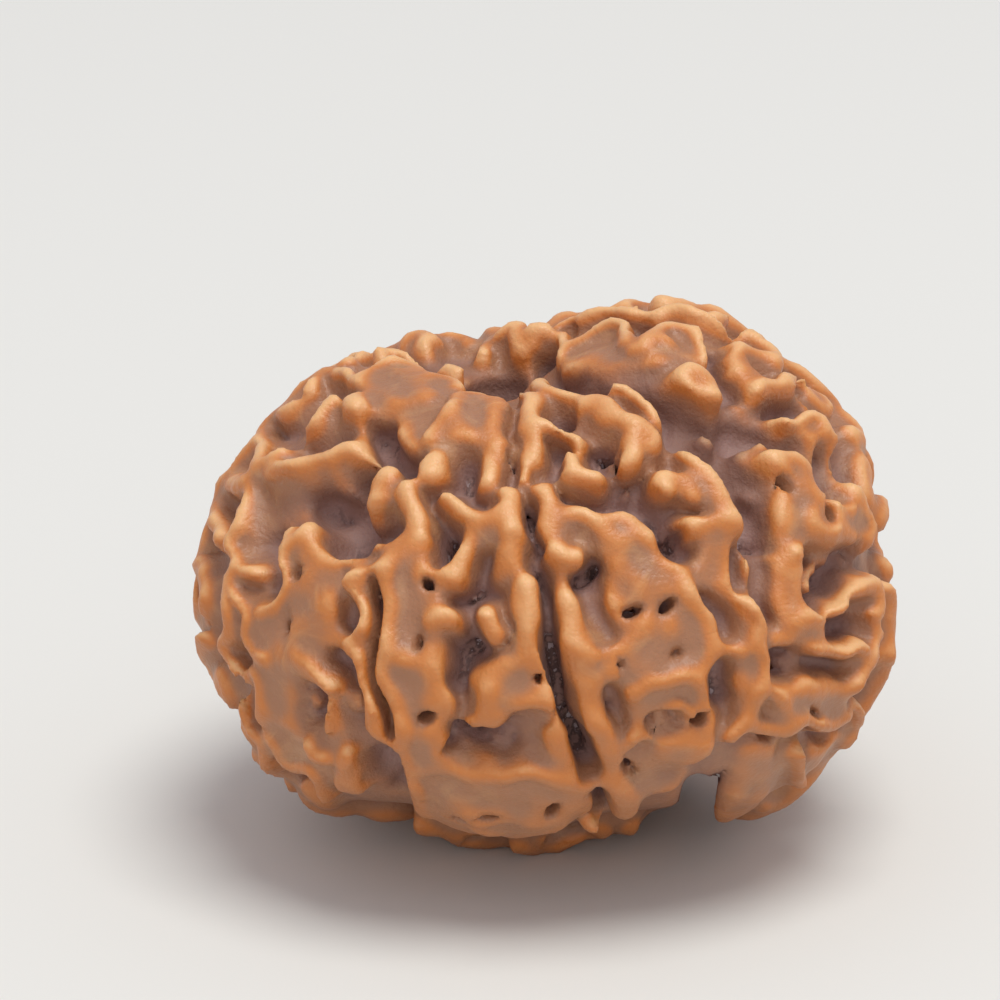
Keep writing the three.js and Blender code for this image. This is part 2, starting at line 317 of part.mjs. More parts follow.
  [0.34, 0.0, [[14.3, 0.2], [14.5, -0.8], [14.3, -1.4], [14.5, -2.1], [14.3, -2.8], [13.9, -3.6],
    [13.5, -4.3]], 0.25],
  [0.34, 0.0, [[13.5, -4.5], [13.6, -5.4], [13.4, -6.2], [12.9, -6.9]], 0.4],
  [0.34, 0.05, [[8.9, -6.2], [9.6, -6.25], [10.2, -6.3], [10.7, -5.9], [11.3, -6.0], [11.9, -6.15],
    [12.5, -6.0], [13.0, -5.9]], 0.15],
  [0.34, 0.1, [[10.7, -6.1], [10.3, -5.3], [10.0, -4.4]], 0.45],
  [0.25, 0.1, [[10.95, -7.5], [10.95, -8.1], [11.15, -8.6]], 0.3],
];

// Plates, ridges with flat tops: half width of the flat, edge radius, depth, chart points.
const PLATES = [
  [0.35, 0.45, 0.8, [[-12.5, 3.6], [-12.7, 2.6], [-12.7, 1.8]]],
  [1, 0.5, 0.42, [[-7.2, 8.7], [-6.2, 8.6], [-5.3, 8.3]]],
  [0.9, 0.5, 0.72, [[-6.4, 7.9], [-6.0, 7.1], [-5.4, 6.7]]],
  [0.7, 0.55, 0.24, [[-3.1, 7.55], [-3.3, 6.8]]],
  [0.7, 0.5, 0.52, [[-3.7, 6.3], [-3.2, 6.0]]],
  [1.1, 0.45, 0.45, [[-9.9, 0.0], [-9.8, -1.6], [-9.7, -3.0]]],
  [0.35, 0.4, 0.35, [[-9.95, 2.4], [-9.9, 1.0]]],
  [0.8, 0.45, 0.47, [[-12.0, -1.7], [-11.6, -3.2], [-11.5, -4.8]]],
  [0.8, 0.5, 0.52, [[-11.3, -5.6], [-10.8, -7.0]]],
  [0.7, 0.5, 0.62, [[-9.3, -6.6], [-8.9, -8.0]]],
  [0.9, 0.6, 0.82, [[-11.1, -8.3], [-10.2, -8.9]]],
  [0.2, 0.35, 0.37, [[-7.7, 0.1], [-7.6, -1.4], [-7.9, -2.7], [-7.5, -4.2], [-7.2, -5.6]]],
  [0.8, 0.5, 0.47, [[-5.9, 0.9], [-5.9, -1.0], [-6.1, -2.6], [-5.8, -4.5], [-5.4, -6.4], [-5.1, -7.6]]],
  [0.35, 0.4, 0.42, [[-4.4, -1.7], [-4.4, -3.5], [-4.7, -5.5]]],
  [0.4, 0.4, 0.62, [[-4.8, 0.6], [-4.6, -0.6]]],
  [0.4, 0.4, 0.32, [[-3.0, 2.6], [-1.9, 2.6]]],
  [0.9, 0.5, 0.27, [[-1.7, -4.4], [-0.6, -4.4]]],
  [1.1, 0.6, 0.35, [[-4.2, -9.1], [-1.5, -9.4], [0.8, -9.2]]],
  [0.9, 0.6, 0.4, [[-3.6, -10.0], [-2.0, -10.4], [-0.4, -10.1], [0.8, -9.8]]],
  [0.4, 0.4, 0.72, [[-3.8, -7.9], [0.0, -7.6]]],
  [0.3, 0.4, 0.32, [[0.6, -6.3], [0.8, -7.4], [1.3, -8.8]]],
  [1, 0.5, 0.42, [[3.7, 1.0], [3.9, -0.6], [3.9, -2.4]]],
  [0.9, 0.5, 0.42, [[4.9, 0.4], [5.3, -1.4], [5.8, -3.0]]],
  [0.9, 0.5, 0.52, [[4.6, -5.4], [6.2, -5.4], [6.0, -6.8]]],
  [0.9, 0.6, 0.72, [[4.6, -7.8], [4.8, -8.4]]],
  [0.5, 0.4, 0.22, [[6.7, 2.5], [7.5, 2.4]]],
  [0.45, 0.4, 0.42, [[7.3, 1.5], [7.2, 0.5]]],
  [0.5, 0.4, 0.87, [[7.7, -0.9], [8.0, -1.9]]],
  [0.35, 0.35, 0.52, [[8.6, -1.3], [8.6, -3.2], [8.7, -4.8]]],
  [1.2, 0.5, 0.47, [[10.9, -4.9], [12.2, -5.0]]],
  [0.8, 0.5, 0.35, [[12.0, 2.3], [13.2, 2.5]]],
  [0.7, 0.5, 0.5, [[10.9, 3.6], [10.6, 1.8], [10.3, 0.2], [10.5, -1.4]]],
  [0.5, 0.4, 0.4, [[10.3, -2.0], [11.4, -2.4], [13.4, -2.7]]],
  [0.6, 0.5, 0.72, [[1.5, 9.8], [3.0, 9.8], [4.6, 9.9], [6.0, 10.2]]],
  [0.45, 0.5, 0.32, [[8.4, 9.6], [8.7, 9.0]]],
  [0.5, 0.5, 0.35, [[11.8, 8.1]]],
  [0.45, 0.4, 0.42, [[10.9, 6.8], [11.7, 6.6]]],
  [0.5, 0.5, 0.27, [[10.5, 5.0], [10.9, 4.6]]],
  [0.4, 0.5, 0.22, [[6.6, 8.8], [6.5, 8.0]]],
  [0.5, 0.6, 0.9, [[9.1, -7.2], [8.8, -8.4], [8.3, -9.4], [8.2, -9.9]]],
  [0.5, 0.5, 0.9, [[10.3, -7.4], [9.9, -8.6]]],
  [0.5, 0.5, 0.42, [[12.2, -6.9], [11.6, -7.4]]],
];

// Slits, sunk last: radius, depth of the bed, chart points.
const SLITS = [
  [0.13, 1.9, [[-0.75, 3.5], [-0.7, 2.9]]],
  [0.1, 1.5, [[-0.7, 2.5], [-0.1, 1.55]]],
  [0.12, 1.9, [[-0.05, 0.6], [0.0, -0.6], [0.15, -1.8]]],
  [0.22, 2.6, [[0.2, -2.0, -0.8], [0.3, -2.8, -0.3], [0.45, -3.5], [0.75, -4.5], [0.9, -5.3],
    [1.15, -5.9]]],
  [0.24, 2.7, [[1.4, -6.5], [1.65, -7.3], [1.85, -7.9]]],
  [0.18, 2.2, [[2.2, -8.8], [2.6, -9.8]]],
  [0.1, 1.5, [[-7.05, 0.2], [-7.1, -1.0], [-7.25, -2.5], [-7.2, -3.8], [-6.75, -5.0], [-6.6, -6.2]]],
  [0.14, 2.0, [[-6.5, -7.0], [-6.2, -8.4], [-5.8, -9.4]]],
];

// Pits sunk last: chart place, half width, half height, depth below the envelope, tilt in degrees.
const PITS = [
  [-2.1, 9.0, 1.3, 0.5, 4.2, 3],
  [-3.2, 8.95, 0.35, 0.45, 3.0, 0],
  [-0.3, 9.75, 0.85, 0.15, 2.6, 38],
  [-9.7, 3.8, 0.6, 0.25, 2.9, 15],
  [-5.9, 4.95, 0.3, 0.45, 2.4, 45],
  [-10.65, 0.6, 0.2, 0.33, 1.3, -20],
  [-11.0, -1.8, 0.17, 0.25, 1.7, -20],
  [-8.65, -3.4, 0.22, 0.13, 1.9, -10],
  [-12.6, -4.7, 0.3, 0.7, 1.2, 0],
  [-7.0, -8.3, 0.3, 0.55, 2.2, -30],
  [-4.97, -0.05, 0.24, 0.34, 2.0, 15],
  [-5.45, -2.45, 0.15, 0.33, 1.8, -5],
  [-3.55, -4.55, 0.38, 0.33, 2.3, -15],
  [-5.1, -5.65, 0.42, 0.25, 1.6, 15],
  [-0.3, -4.1, 0.2, 0.22, 1.5, 0],
  [-4.1, -7.05, 0.38, 0.22, 1.8, 35],
  [-1.45, -6.1, 0.3, 0.1, 1.6, 0],
  [-3.6, -9.75, 0.25, 0.14, 1.4, 0],
  [-2.5, -9.7, 0.5, 0.13, 1.5, -3],
  [0.22, -9.45, 0.27, 0.33, 1.9, 0],
  [-1.55, 5.5, 0.12, 0.3, 2.2, 20],
  [0.75, 7.35, 0.36, 0.3, 2.4, -35],
  [0.4, 7.6, 0.3, 0.2, 1.3, 0],
  [2.5, 6.0, 0.35, 0.2, 2.8, 15],
  [3.0, 5.4, 0.15, 0.4, 2.4, -20],
  [5.65, 2.0, 0.27, 0.5, 2.6, -10],
  [2.25, 0.7, 0.15, 0.45, 2.6, -10],
  [1.6, 0.4, 0.3, 0.12, 2.3, 20],
  [3.65, -1.1, 0.5, 0.2, 1.7, 22],
  [5.1, -0.95, 0.42, 0.24, 1.7, 35],
  [5.6, -3.05, 0.25, 0.2, 1.0, 0],
  [3.35, -3.4, 0.13, 0.3, 1.5, -15],
  [2.8, -5.55, 0.22, 0.24, 1.5, -30],
  [3.55, -7.9, 0.14, 0.5, 1.6, 25],
  [6.7, -5.75, 0.45, 0.28, 1.7, 20],
  [7.65, -4.6, 0.2, 0.5, 2.0, 10],
  [9.7, 1.85, 0.35, 0.2, 2.9, -15],
  [9.2, 2.1, 0.2, 0.2, 2.6, 0],
  [7.6, 4.9, 0.6, 0.22, 3.4, -35],
  [10.2, 4.25, 0.16, 0.4, 2.2, 35],
  [1.0, 10.8, 0.2, 0.22, 1.0, 0],
  [10.9, 8.35, 0.22, 0.2, 1.1, 30],
  [11.9, 3.25, 0.28, 0.33, 2.0, -20],
  [11.35, -5.5, 0.3, 0.15, 0.9, -20],
  [9.7, -6.6, 0.4, 0.2, 1.8, 0],
  [11.1, -6.3, 0.45, 0.15, 1.8, -10],
  [12.0, -6.6, 0.4, 0.15, 1.8, 10],
];

// The gap beside the leg, open along the viewer's sight line: chart places, each with its radius.
const GAP = [
  [7.55, -7.85, 0.12], [7.0, -8.5, 0.35], [6.55, -8.75, 0.75],
  [6.4, -9.6, 0.8], [5.9, -10.5, 1.2], [5.1, -10.6, 1.1],
];

// Growth of the sides that the chart doesn't show: the lobes' borders, degrees round the axis.
const LOBE_BORDERS = [2, 38, 77, 115, 150, 190, 225, 260, 295, 332];
const RULE_SEED = 1871;
const PLATE_SHARE = 0.7;
const PLATE_EDGE = 0.5;

// How squarely a place may face the viewer and still count as unseen, and how much less on the
// underside, where the traced lobes run on a little way.
const HIDDEN_FACING = 0.1;
const UNDERSIDE_SHIFT = 0.22;

// The low spot that it rests on: its place round the axis, flat half width and edge radius.
const REST_PLACE = [0, -88];
const REST_FLAT = 1.3;
const REST_EDGE = 0.5;

// How softly each kind of form runs into its neighbours, and how walls spread as they go down.
const HOLLOW_BLEND = 0.25;
const RIDGE_BLEND = 0.17;
const CAVITY_BLEND = 0.2;
const PIT_BLEND = 0.08;
const WALL_REACH = 3.2;
const FLARE = 0.3;
const FLARE_REACH = 1.3;
const VALLEY_SLOPE = 0.25;
const SLIT_SLOPE = 0.12;

// The step between the points of a smooth line, and how far each vertex is evened out.
const LINE_STEP = 0.35;
const EVENING = 0.45;

// How traced edges wander from their lines: shift and wavelength.
const WANDER = [[0.11, 3.3], [0.05, 1.6]];

const radians = THREE.MathUtils.degToRad;
const vector = (x, y, z) => new THREE.Vector3(x, y, z);
const RIGHT = vector(1, 0, 0);
const SIGHT = vector(0, Math.cos(radians(VIEW_ELEVATION)), -Math.sin(radians(VIEW_ELEVATION)));
const UPRIGHT = vector(0, -SIGHT.z, SIGHT.y);
const FRAME_MIDDLE = [-1.915, 3.617];
const VIEWER = vector(0, 0, 0)
  .addScaledVector(SIGHT, -VIEW_DISTANCE)
  .addScaledVector(RIGHT, FRAME_MIDDLE[0])
  .addScaledVector(UPRIGHT, FRAME_MIDDLE[1]);
const SILHOUETTE_HALF_HEIGHT = Math.hypot(HALF_HEIGHT * SIGHT.y, HALF_DEPTH * SIGHT.z);

// A value between four equally spaced ones, on a smooth curve through the middle two.
function between(a, b, c, d, t) {
  const slopeB = (c - a) / 2;
  const slopeC = (d - b) / 2;
  return b + t * (slopeB + t * (3 * (c - b) - 2 * slopeB - slopeC + t * (2 * (b - c) + slopeB + slopeC)));
}

// The outline's radius over the plain ellipse's, at each of its directions.
const outlineScale = OUTLINE.map((radius, i) => {
  const turn = (2 * Math.PI * i) / OUTLINE.length;
  return radius * Math.hypot(Math.cos(turn) / HALF_WIDTH, Math.sin(turn) / SILHOUETTE_HALF_HEIGHT);
});
const swellings = SWELLINGS.map(([to, reach, height]) => ({
  to: vector(...to).normalize(),
  width: 1 - Math.cos(radians(reach)),
  height,
}));

// Distance from the middle to the envelope, along a direction of length 1.
function envelope(dir) {
  const plain = 1 / Math.hypot(dir.x / HALF_WIDTH, dir.y / HALF_DEPTH, dir.z / HALF_HEIGHT);
  const across = dir.x;
  const up = dir.dot(UPRIGHT);
  const offSight = across * across + up * up;
  const place = ((Math.atan2(up, across) / (2 * Math.PI) + 1) % 1) * OUTLINE.length;
  const i = Math.floor(place);
  const scales = [-1, 0, 1, 2].map((k) => outlineScale[(i + k + OUTLINE.length) % OUTLINE.length]);
  let radius = plain * (1 + (between(...scales, place - i) - 1) * offSight);
  for (const s of swellings) radius += s.height * Math.exp((s.to.dot(dir) - 1) / s.width);
  return radius;
}

function overEnvelope(p) {
  return p.length() - envelope(p.clone().normalize());
}

function outward(p) {
  const h = 0.05;
  const beside = (axis, step) => overEnvelope(p.clone().addScaledVector(axis, step));
  const axes = [vector(1, 0, 0), vector(0, 1, 0), vector(0, 0, 1)];
  return vector(...axes.map((axis) => beside(axis, h) - beside(axis, -h))).normalize();
}

// Where the viewer's sight line through a chart place meets the level at a depth below the
// envelope, or passes it closest.
function lay(u, v, depth) {
  const along = RIGHT.clone().multiplyScalar(u).addScaledVector(UPRIGHT, v).sub(VIEWER).normalize();
  const at = (s) => VIEWER.clone().addScaledVector(along, s);
  const step = 0.4;
  let best = Infinity;
  let bestAt = 0;
  for (let s = VIEW_DISTANCE - 18; s < VIEW_DISTANCE + 4; s += step) {
    const over = overEnvelope(at(s)) + depth;
    if (over < best) {
      best = over;
      bestAt = s;
    }
    if (over < 0) {
      let outside = s - step;
      let inside = s;
      for (let k = 0; k < 12; k++) {
        const middle = (outside + inside) / 2;
        if (overEnvelope(at(middle)) + depth < 0) inside = middle;
        else outside = middle;
      }
      return at(inside);
    }
  }
  return at(bestAt);
}

// Points a short step apart on a smooth curve through the given points.
function smoothLine(points) {
  if (points.length === 1) return points;
  const last = points.length - 1;
  const line = [];
  for (let i = 0; i < last; i++) {
    const [a, b, c, d] = [i - 1, i, i + 1, i + 2].map((k) => points[Math.min(Math.max(k, 0), last)]);
    const steps = Math.max(1, Math.round(Math.hypot(c[0] - b[0], c[1] - b[1]) / LINE_STEP));
    for (let k = 0; k < steps; k++)
      line.push(b.map((value, j) => between(a[j], value, c[j], d[j], k / steps)));
  }
  line.push(points[last]);
  return line;
}

// A wall stands on a line of crest points, each with the way out of the seed there. Its flanks
// spread by a slope, and its top can be flat on either side of the line.
function wall(radius, crests, slope = FLARE, flat = 0) {
  const middle = crests.reduce((sum, c) => sum.add(c.at), vector(0, 0, 0)).divideScalar(crests.length);
  const reach = Math.max(...crests.map((c) => c.at.distanceTo(middle))) + radius + flat + WALL_REACH + 0.4;
  return { radius, crests, slope, flat, middle, reach };
}

// Crest points of a traced line: each lies at a depth below the envelope, then goes deeper still.
function chartCrests(line, depth, further) {
  return smoothLine(line.map(([u, v, deeper = 0]) => [u, v, deeper])).map(([u, v, deeper]) => {
    const at = lay(u, v, depth + deeper);
    const out = outward(at);
    return { at: at.addScaledVector(out, -further), out };
  });
}

// Distance to a ridge: a round crest on a wall that runs down into the seed.
function ridgeDistance(ridge, p) {
  let best = Infinity;
  const { crests, radius, slope, flat } = ridge;
  const w = vector(0, 0, 0);
  const out = vector(0, 0, 0);
  const count = Math.max(1, crests.length - 1);
  for (let i = 0; i < count; i++) {
    const a = crests[i];
    const b = crests[Math.min(i + 1, crests.length - 1)];
    w.subVectors(b.at, a.at);
    const lengthSquared = w.lengthSq();
    let t = 0;
    if (lengthSquared > 0) {
      t = (p.x - a.at.x) * w.x + (p.y - a.at.y) * w.y + (p.z - a.at.z) * w.z;
      t = Math.min(1, Math.max(0, t / lengthSquared));
    }
    out.lerpVectors(a.out, b.out, t).normalize();
    w.multiplyScalar(t).add(a.at);
    w.subVectors(p, w);
    const rise = w.dot(out);
    const aside = Math.max(0, Math.sqrt(Math.max(0, w.lengthSq() - rise * rise)) - flat);
    const past = Math.max(0, rise, -rise - WALL_REACH);
    const spread = slope * Math.min(Math.max(0, -rise), FLARE_REACH);
    best = Math.min(best, Math.hypot(past, aside) - radius - spread);
  }
  return best;
}

// Distance to a valley: a round bed below an open slot that widens outwards.
function valleyDistance(valley, p) {
  let best = Infinity;
  const { crests, radius, slope } = valley;
  const w = vector(0, 0, 0);
  const out = vector(0, 0, 0);
  for (let i = 0; i < crests.length - 1; i++) {
    const a = crests[i];
    const b = crests[i + 1];
    w.subVectors(b.at, a.at);
    let t = (p.x - a.at.x) * w.x + (p.y - a.at.y) * w.y + (p.z - a.at.z) * w.z;
    t = Math.min(1, Math.max(0, t / w.lengthSq()));
    out.lerpVectors(a.out, b.out, t).normalize();
    w.multiplyScalar(t).add(a.at);
    w.subVectors(p, w);
    const rise = w.dot(out);
    const aside = Math.sqrt(Math.max(0, w.lengthSq() - rise * rise));
    best = Math.min(best, Math.hypot(Math.min(0, rise), aside) - radius - slope * Math.max(0, rise));
  }
  return best;
}

// A bowl is an ellipsoid with its own three axes.
function bowl(at, out, acrossAxis, halfWidth, halfHeight, depth) {
  const side = acrossAxis.clone().addScaledVector(out, -acrossAxis.dot(out)).normalize();
  const axes = [side, out.clone().cross(side), out];
  const radii = [halfWidth, halfHeight, depth];
  return { middle: at, axes, radii, reach: Math.max(...radii) + 1.4 };
}

function chartBowl([u, v, halfWidth, halfHeight, depth, tilt]) {
  const at = lay(u, v, RIM_SINK);
  const out = outward(at);
  const lean = radians(tilt);
  const toSide = lay(u + 0.2 * Math.cos(lean), v + 0.2 * Math.sin(lean), RIM_SINK).sub(at);
  const toTop = lay(u - 0.2 * Math.sin(lean), v + 0.2 * Math.cos(lean), RIM_SINK).sub(at);
  const stretchAside = Math.min(2.2, Math.max(1, toSide.length() / 0.2));
  const stretchUp = Math.min(2.2, Math.max(1, toTop.length() / 0.2));
  return bowl(at, out, toSide, halfWidth * stretchAside, halfHeight * stretchUp, depth - RIM_SINK);
}

function bowlDistance(b, p) {
  const w = vector(0, 0, 0).subVectors(p, b.middle);
  const along = b.axes.map((axis) => w.dot(axis));
  const k0 = Math.hypot(...along.map((x, i) => x / b.radii[i]));
  const k1 = Math.hypot(...along.map((x, i) => x / b.radii[i] ** 2));
  return k1 > 1e-9 ? (k0 * (k0 - 1)) / k1 : -Math.min(...b.radii);
}

// A repeatable draw between two bounds.
let drawState = RULE_SEED;
function draw(low, high) {
  drawState = (drawState * 16807) % 2147483647;
  return low + ((high - low) * drawState) / 2147483647;
}

// The frame of the growth axis: longitude 0 faces the viewer, and grows to the right.
const GROWTH_UP = vector(...GROWTH_AXIS).normalize();
const GROWTH_FRONT = vector(0, -1, 0).addScaledVector(GROWTH_UP, GROWTH_UP.y).normalize();
const GROWTH_SIDE = GROWTH_UP.clone().cross(GROWTH_FRONT).negate();

function onGrowth(longitude, latitude) {
  const lon = radians(longitude);
  const lat = radians(latitude);
  const dir = vector(0, 0, 0)
    .addScaledVector(GROWTH_FRONT, Math.cos(lon) * Math.cos(lat))
    .addScaledVector(GROWTH_SIDE, -Math.sin(lon) * Math.cos(lat))
    .addScaledVector(GROWTH_UP, Math.sin(lat));
  return dir.clone().multiplyScalar(envelope(dir));
}

// Whether the viewer can't see a place.
function unseen(at, out) {
  const facing = out.dot(VIEWER.clone().sub(at).normalize());
  return facing < HIDDEN_FACING - UNDERSIDE_SHIFT * Math.max(0, -out.z);
}

// The stretches of a line round the axis that the viewer can't see, as crests at a depth.
function hiddenRuns(line, depth) {
  const runs = [];
  let run = [];
  const scale = 4;
  const flat = line.map(([lon, lat]) => [lon / scale, lat / scale]);
  for (const [lon, lat] of smoothLine(flat)) {
    const at = onGrowth(lon * scale, lat * scale);
    const out = outward(at);
    if (unseen(at, out)) {
      run.push({ at: at.addScaledVector(out, -depth), out });
    } else {
      if (run.length > 1) runs.push(run);
      run = [];
    }
  }
  if (run.length > 1) runs.push(run);
  return runs;
}

function trench([radius, depth, line], slope) {
  return wall(radius, chartCrests(line, RIM_SINK, depth - RIM_SINK - radius), slope);
}

const valleys = VALLEYS.map((v) => trench(v, VALLEY_SLOPE));
const slits = SLITS.map((s) => trench(s, SLIT_SLOPE));
const cavities = CAVITIES.map((c) => trench(c, VALLEY_SLOPE));
const pits = PITS.map(chartBowl);
// Bowl-shaped hollows between the rungs of the hidden sides.
const hollows = [];
const innerKnobs = INNER_KNOBS.map(([radius, sink, line]) => wall(radius, chartCrests(line, sink, radius)));
const ridges = [
  ...RIDGES.map(([radius, sink, line, slope]) => wall(radius, chartCrests(line, sink, radius), slope)),
  ...PLATES.map(([flat, edge, sink, line]) => wall(edge, chartCrests(line, sink, edge), FLARE, flat)),
];

// The sides that the chart doesn't show: valleys, scalloped lips along them, rungs, knobs and pits.
function growHiddenSides() {
  const addBowl = (list, lon, lat, halfWidth, halfHeight, depth) => {
    const at = onGrowth(lon, lat);
    const out = outward(at);
    if (unseen(at, out))
      list.push(bowl(at, out, onGrowth(lon + 2, lat).sub(at), halfWidth, halfHeight, depth));
  };
  const addKnob = (radius, at, depth, flat = 0) => {
    const out = outward(at);
    if (unseen(at, out))
      ridges.push(wall(radius, [{ at: at.addScaledVector(out, -depth), out }], FLARE, flat));
  };
  LOBE_BORDERS.forEach((border, i) => {
    const next = LOBE_BORDERS[(i + 1) % LOBE_BORDERS.length] + (i + 1 < LOBE_BORDERS.length ? 0 : 360);
    const valley = [];
    for (let lat = 68; lat >= -84; lat -= 8) valley.push([border + draw(-1.5, 1.5), lat]);
    for (const run of hiddenRuns(valley, 1.7)) valleys.push(wall(0.45, run, VALLEY_SLOPE));
    for (const side of [1, -1]) {
      const from = side > 0 ? border : next;
      const lip = [];
      for (let lat = 66; lat >= -78; lat -= 5) {
        const spread = 1 / Math.max(0.35, Math.cos(radians(lat)));
        lip.push([from + side * (4.6 + draw(-1.2, 1.4)) * Math.min(spread, 1.9), lat + draw(-1, 1)]);
      }
      const radius = draw(0.5, 0.65);
      for (const run of hiddenRuns(lip, radius + 0.05)) ridges.push(wall(radius, run));
    }
    const middle = (border + next) / 2;
    const half = (next - border) / 2 - 4.5;
    let lat = draw(50, 60);
    while (lat > -66) {
      const bow = draw(-7, 7);
      const start = draw(0, 1) < 0.3 ? draw(-0.3, 0.2) : -1;
      const end = start === -1 && draw(0, 1) < 0.35 ? draw(0, 0.5) : 1;
      const rung = [0, 0.25, 0.5, 0.75, 1].map((t) => [
        middle + half * (start + (end - start) * t),
        lat + bow * 4 * t * (1 - t) + draw(-2.2, 2.2),
      ]);
      const radius = draw(0.42, 0.62);
      for (const run of hiddenRuns(rung, radius + draw(0, 0.25))) ridges.push(wall(radius, run));
      const gap = draw(12, 19);
      const hollowAt = lat - gap / 2 + bow / 2;
      if (draw(0, 1) < PLATE_SHARE) {
        const plate = [-1, 1].map((end) => [middle + end * draw(2, 7), hollowAt + draw(-3, 3)]);
        const flat = draw(0.5, 1.2);
        for (const run of hiddenRuns(plate, PLATE_EDGE + draw(0.3, 0.7)))
          ridges.push(wall(PLATE_EDGE, run, FLARE, flat));
      }
      const bowlAt = [middle + draw(-7, 7), hollowAt + draw(-4, 4)];
      addBowl(hollows, ...bowlAt, draw(0.6, 1.4), draw(0.4, 0.8), draw(1.5, 2.6));
      for (let k = 0; k < 2; k++) {
        const pitAt = [middle + draw(-9, 9), hollowAt + draw(-4, 4)];
        addBowl(pits, ...pitAt, draw(0.22, 0.5), draw(0.22, 0.42), draw(1.5, 2.6));
      }
      for (let k = 0; k < 2; k++) {
        const knob = onGrowth(middle + draw(-9, 9), hollowAt + draw(-6, 6));
        const radius = draw(0.3, 0.6);
        const depth = radius + draw(0, 0.6);
        addKnob(radius, knob, depth);
      }
      lat -= gap;
    }
  });
  addKnob(REST_EDGE, onGrowth(...REST_PLACE), REST_EDGE, REST_FLAT);
}
growHiddenSides();

// The least of several distances, rounded where they cross.
function softLeast(distances, blend) {
  const least = Math.min(...distances);
  let sum = 0;
  for (const d of distances) sum += Math.exp((least - d) / blend);
  return least - blend * Math.log(sum);
}

// Distance to the gap beside the leg, as the viewer sees it.
const gapPlaces = smoothLine(GAP);
function gapDistance(p) {
  const fromViewer = p.clone().sub(VIEWER);
  const scale = VIEW_DISTANCE / fromViewer.dot(SIGHT);
  const u = fromViewer.dot(RIGHT) * scale + FRAME_MIDDLE[0];
  const v = fromViewer.dot(UPRIGHT) * scale + FRAME_MIDDLE[1];
  return Math.min(...gapPlaces.map((place) => Math.hypot(u - place[0], v - place[1]) - place[2]));
}

// A point moved a little, so that forms laid out by clean lines come out with live edges.
function wander(p) {
  const moved = p.clone();
  for (const [shift, wavelength] of WANDER) {
    const turn = (2 * Math.PI) / wavelength;
    const { x, y, z } = moved;
    moved.x += shift * Math.sin(turn * (y + 0.43 * z));
    moved.y += shift * Math.sin(turn * (z + 0.37 * x) + 2);
    moved.z += shift * Math.sin(turn * (x + 0.41 * y) + 4);
  }
  return moved;
}

// The forms that can touch the ray from the middle along a direction.
function nearRay(forms, dir) {
  return forms.filter((f) => {
    const along = f.middle.dot(dir);
    return along > 0 && f.middle.lengthSq() - along * along < f.reach * f.reach;
  });
}

// Distance to the seed's surface, below zero inside.
function seedDistance(p, near) {
  const body = overEnvelope(p) + BODY_SINK;
  const q = wander(p);
  const carved = -softLeast([-body, ...near.valleys.map((f) => valleyDistance(f, q))], HOLLOW_BLEND);
  const netted = softLeast([carved, ...near.ridges.map((f) => ridgeDistance(f, q))], RIDGE_BLEND);
  const hollowed = [
    ...near.cavities.map((f) => valleyDistance(f, q)),
    ...near.hollows.map((f) => bowlDistance(f, q)),
  ];
  const opened = -softLeast([-netted, ...hollowed], CAVITY_BLEND);
  const raised = softLeast([opened, ...near.innerKnobs.map((f) => ridgeDistance(f, q))], PIT_BLEND);
  const sunk = [
    gapDistance(p),
    ...near.slits.map((f) => valleyDistance(f, q)),
    ...near.pits.map((f) => bowlDistance(f, q)),
  ];
  return -softLeast([-raised, ...sunk], PIT_BLEND);
}

// How far out the surface lies along a direction: stepped inwards from outside, then halved.
function surfaceRadius(dir) {
  const near = {
    valleys: nearRay(valleys, dir),
    hollows: nearRay(hollows, dir),
    ridges: nearRay(ridges, dir),
    cavities: nearRay(cavities, dir),
    innerKnobs: nearRay(innerKnobs, dir),
    slits: nearRay(slits, dir),
    pits: nearRay(pits, dir),
  };
  const at = (radius) => seedDistance(dir.clone().multiplyScalar(radius), near);
  let outside = envelope(dir) + 1;
  let over = at(outside);
  while (over > 0 && outside > 4) {
    const step = Math.max(0.05, 0.6 * over);
    const next = outside - step;
    const nextOver = at(next);
    if (nextOver <= 0) {
      let inside = next;
      for (let k = 0; k < 10; k++) {
        const middle = (outside + inside) / 2;
        if (at(middle) <= 0) inside = middle;
        else outside = middle;
      }
      return (outside + inside) / 2;
    }
    outside = next;
    over = nextOver;
  }
  return outside;
}

function positionsOnly(geometry) {
  geometry.deleteAttribute("normal");
  geometry.deleteAttribute("uv");
  return mergeVertices(geometry, 1e-4);
}

// Evens out what falls between the vertices: each radius is held between its second lowest and
// second highest neighbour, and then drawn part of the way to their average.
function evened(radii, index) {
  const neighbours = radii.map(() => new Set());
  for (let i = 0; i < index.count; i += 3) {
    const corners = [0, 1, 2].map((k) => index.getX(i + k));
    for (const corner of corners)
      for (const other of corners) if (other !== corner) neighbours[corner].add(other);
  }
  return radii.map((radius, i) => {
    const near = [...neighbours[i]].map((j) => radii[j]).sort((a, b) => a - b);
    const held = Math.min(Math.max(radius, near[1]), near[near.length - 2]);
    const average = near.reduce((sum, r) => sum + r, 0) / near.length;
    return held + EVENING * (average - held);
  });
}

function makeStone() {
  const geometry = positionsOnly(new THREE.IcosahedronGeometry(1, MESH_DETAIL));
  const place = geometry.attributes.position;
  const dirs = Array.from({ length: place.count }, (_, i) => vector(0, 0, 0).fromBufferAttribute(place, i));
  const radii = evened(dirs.map((dir) => surfaceRadius(dir.normalize())), geometry.index);
  dirs.forEach((dir, i) => {
    place.setXYZ(i, dir.x * radii[i], dir.y * radii[i], dir.z * radii[i] + FLOOR_BELOW_MIDDLE);
  });
  return geometry;
}

const wasm = await Module();
wasm.setup();

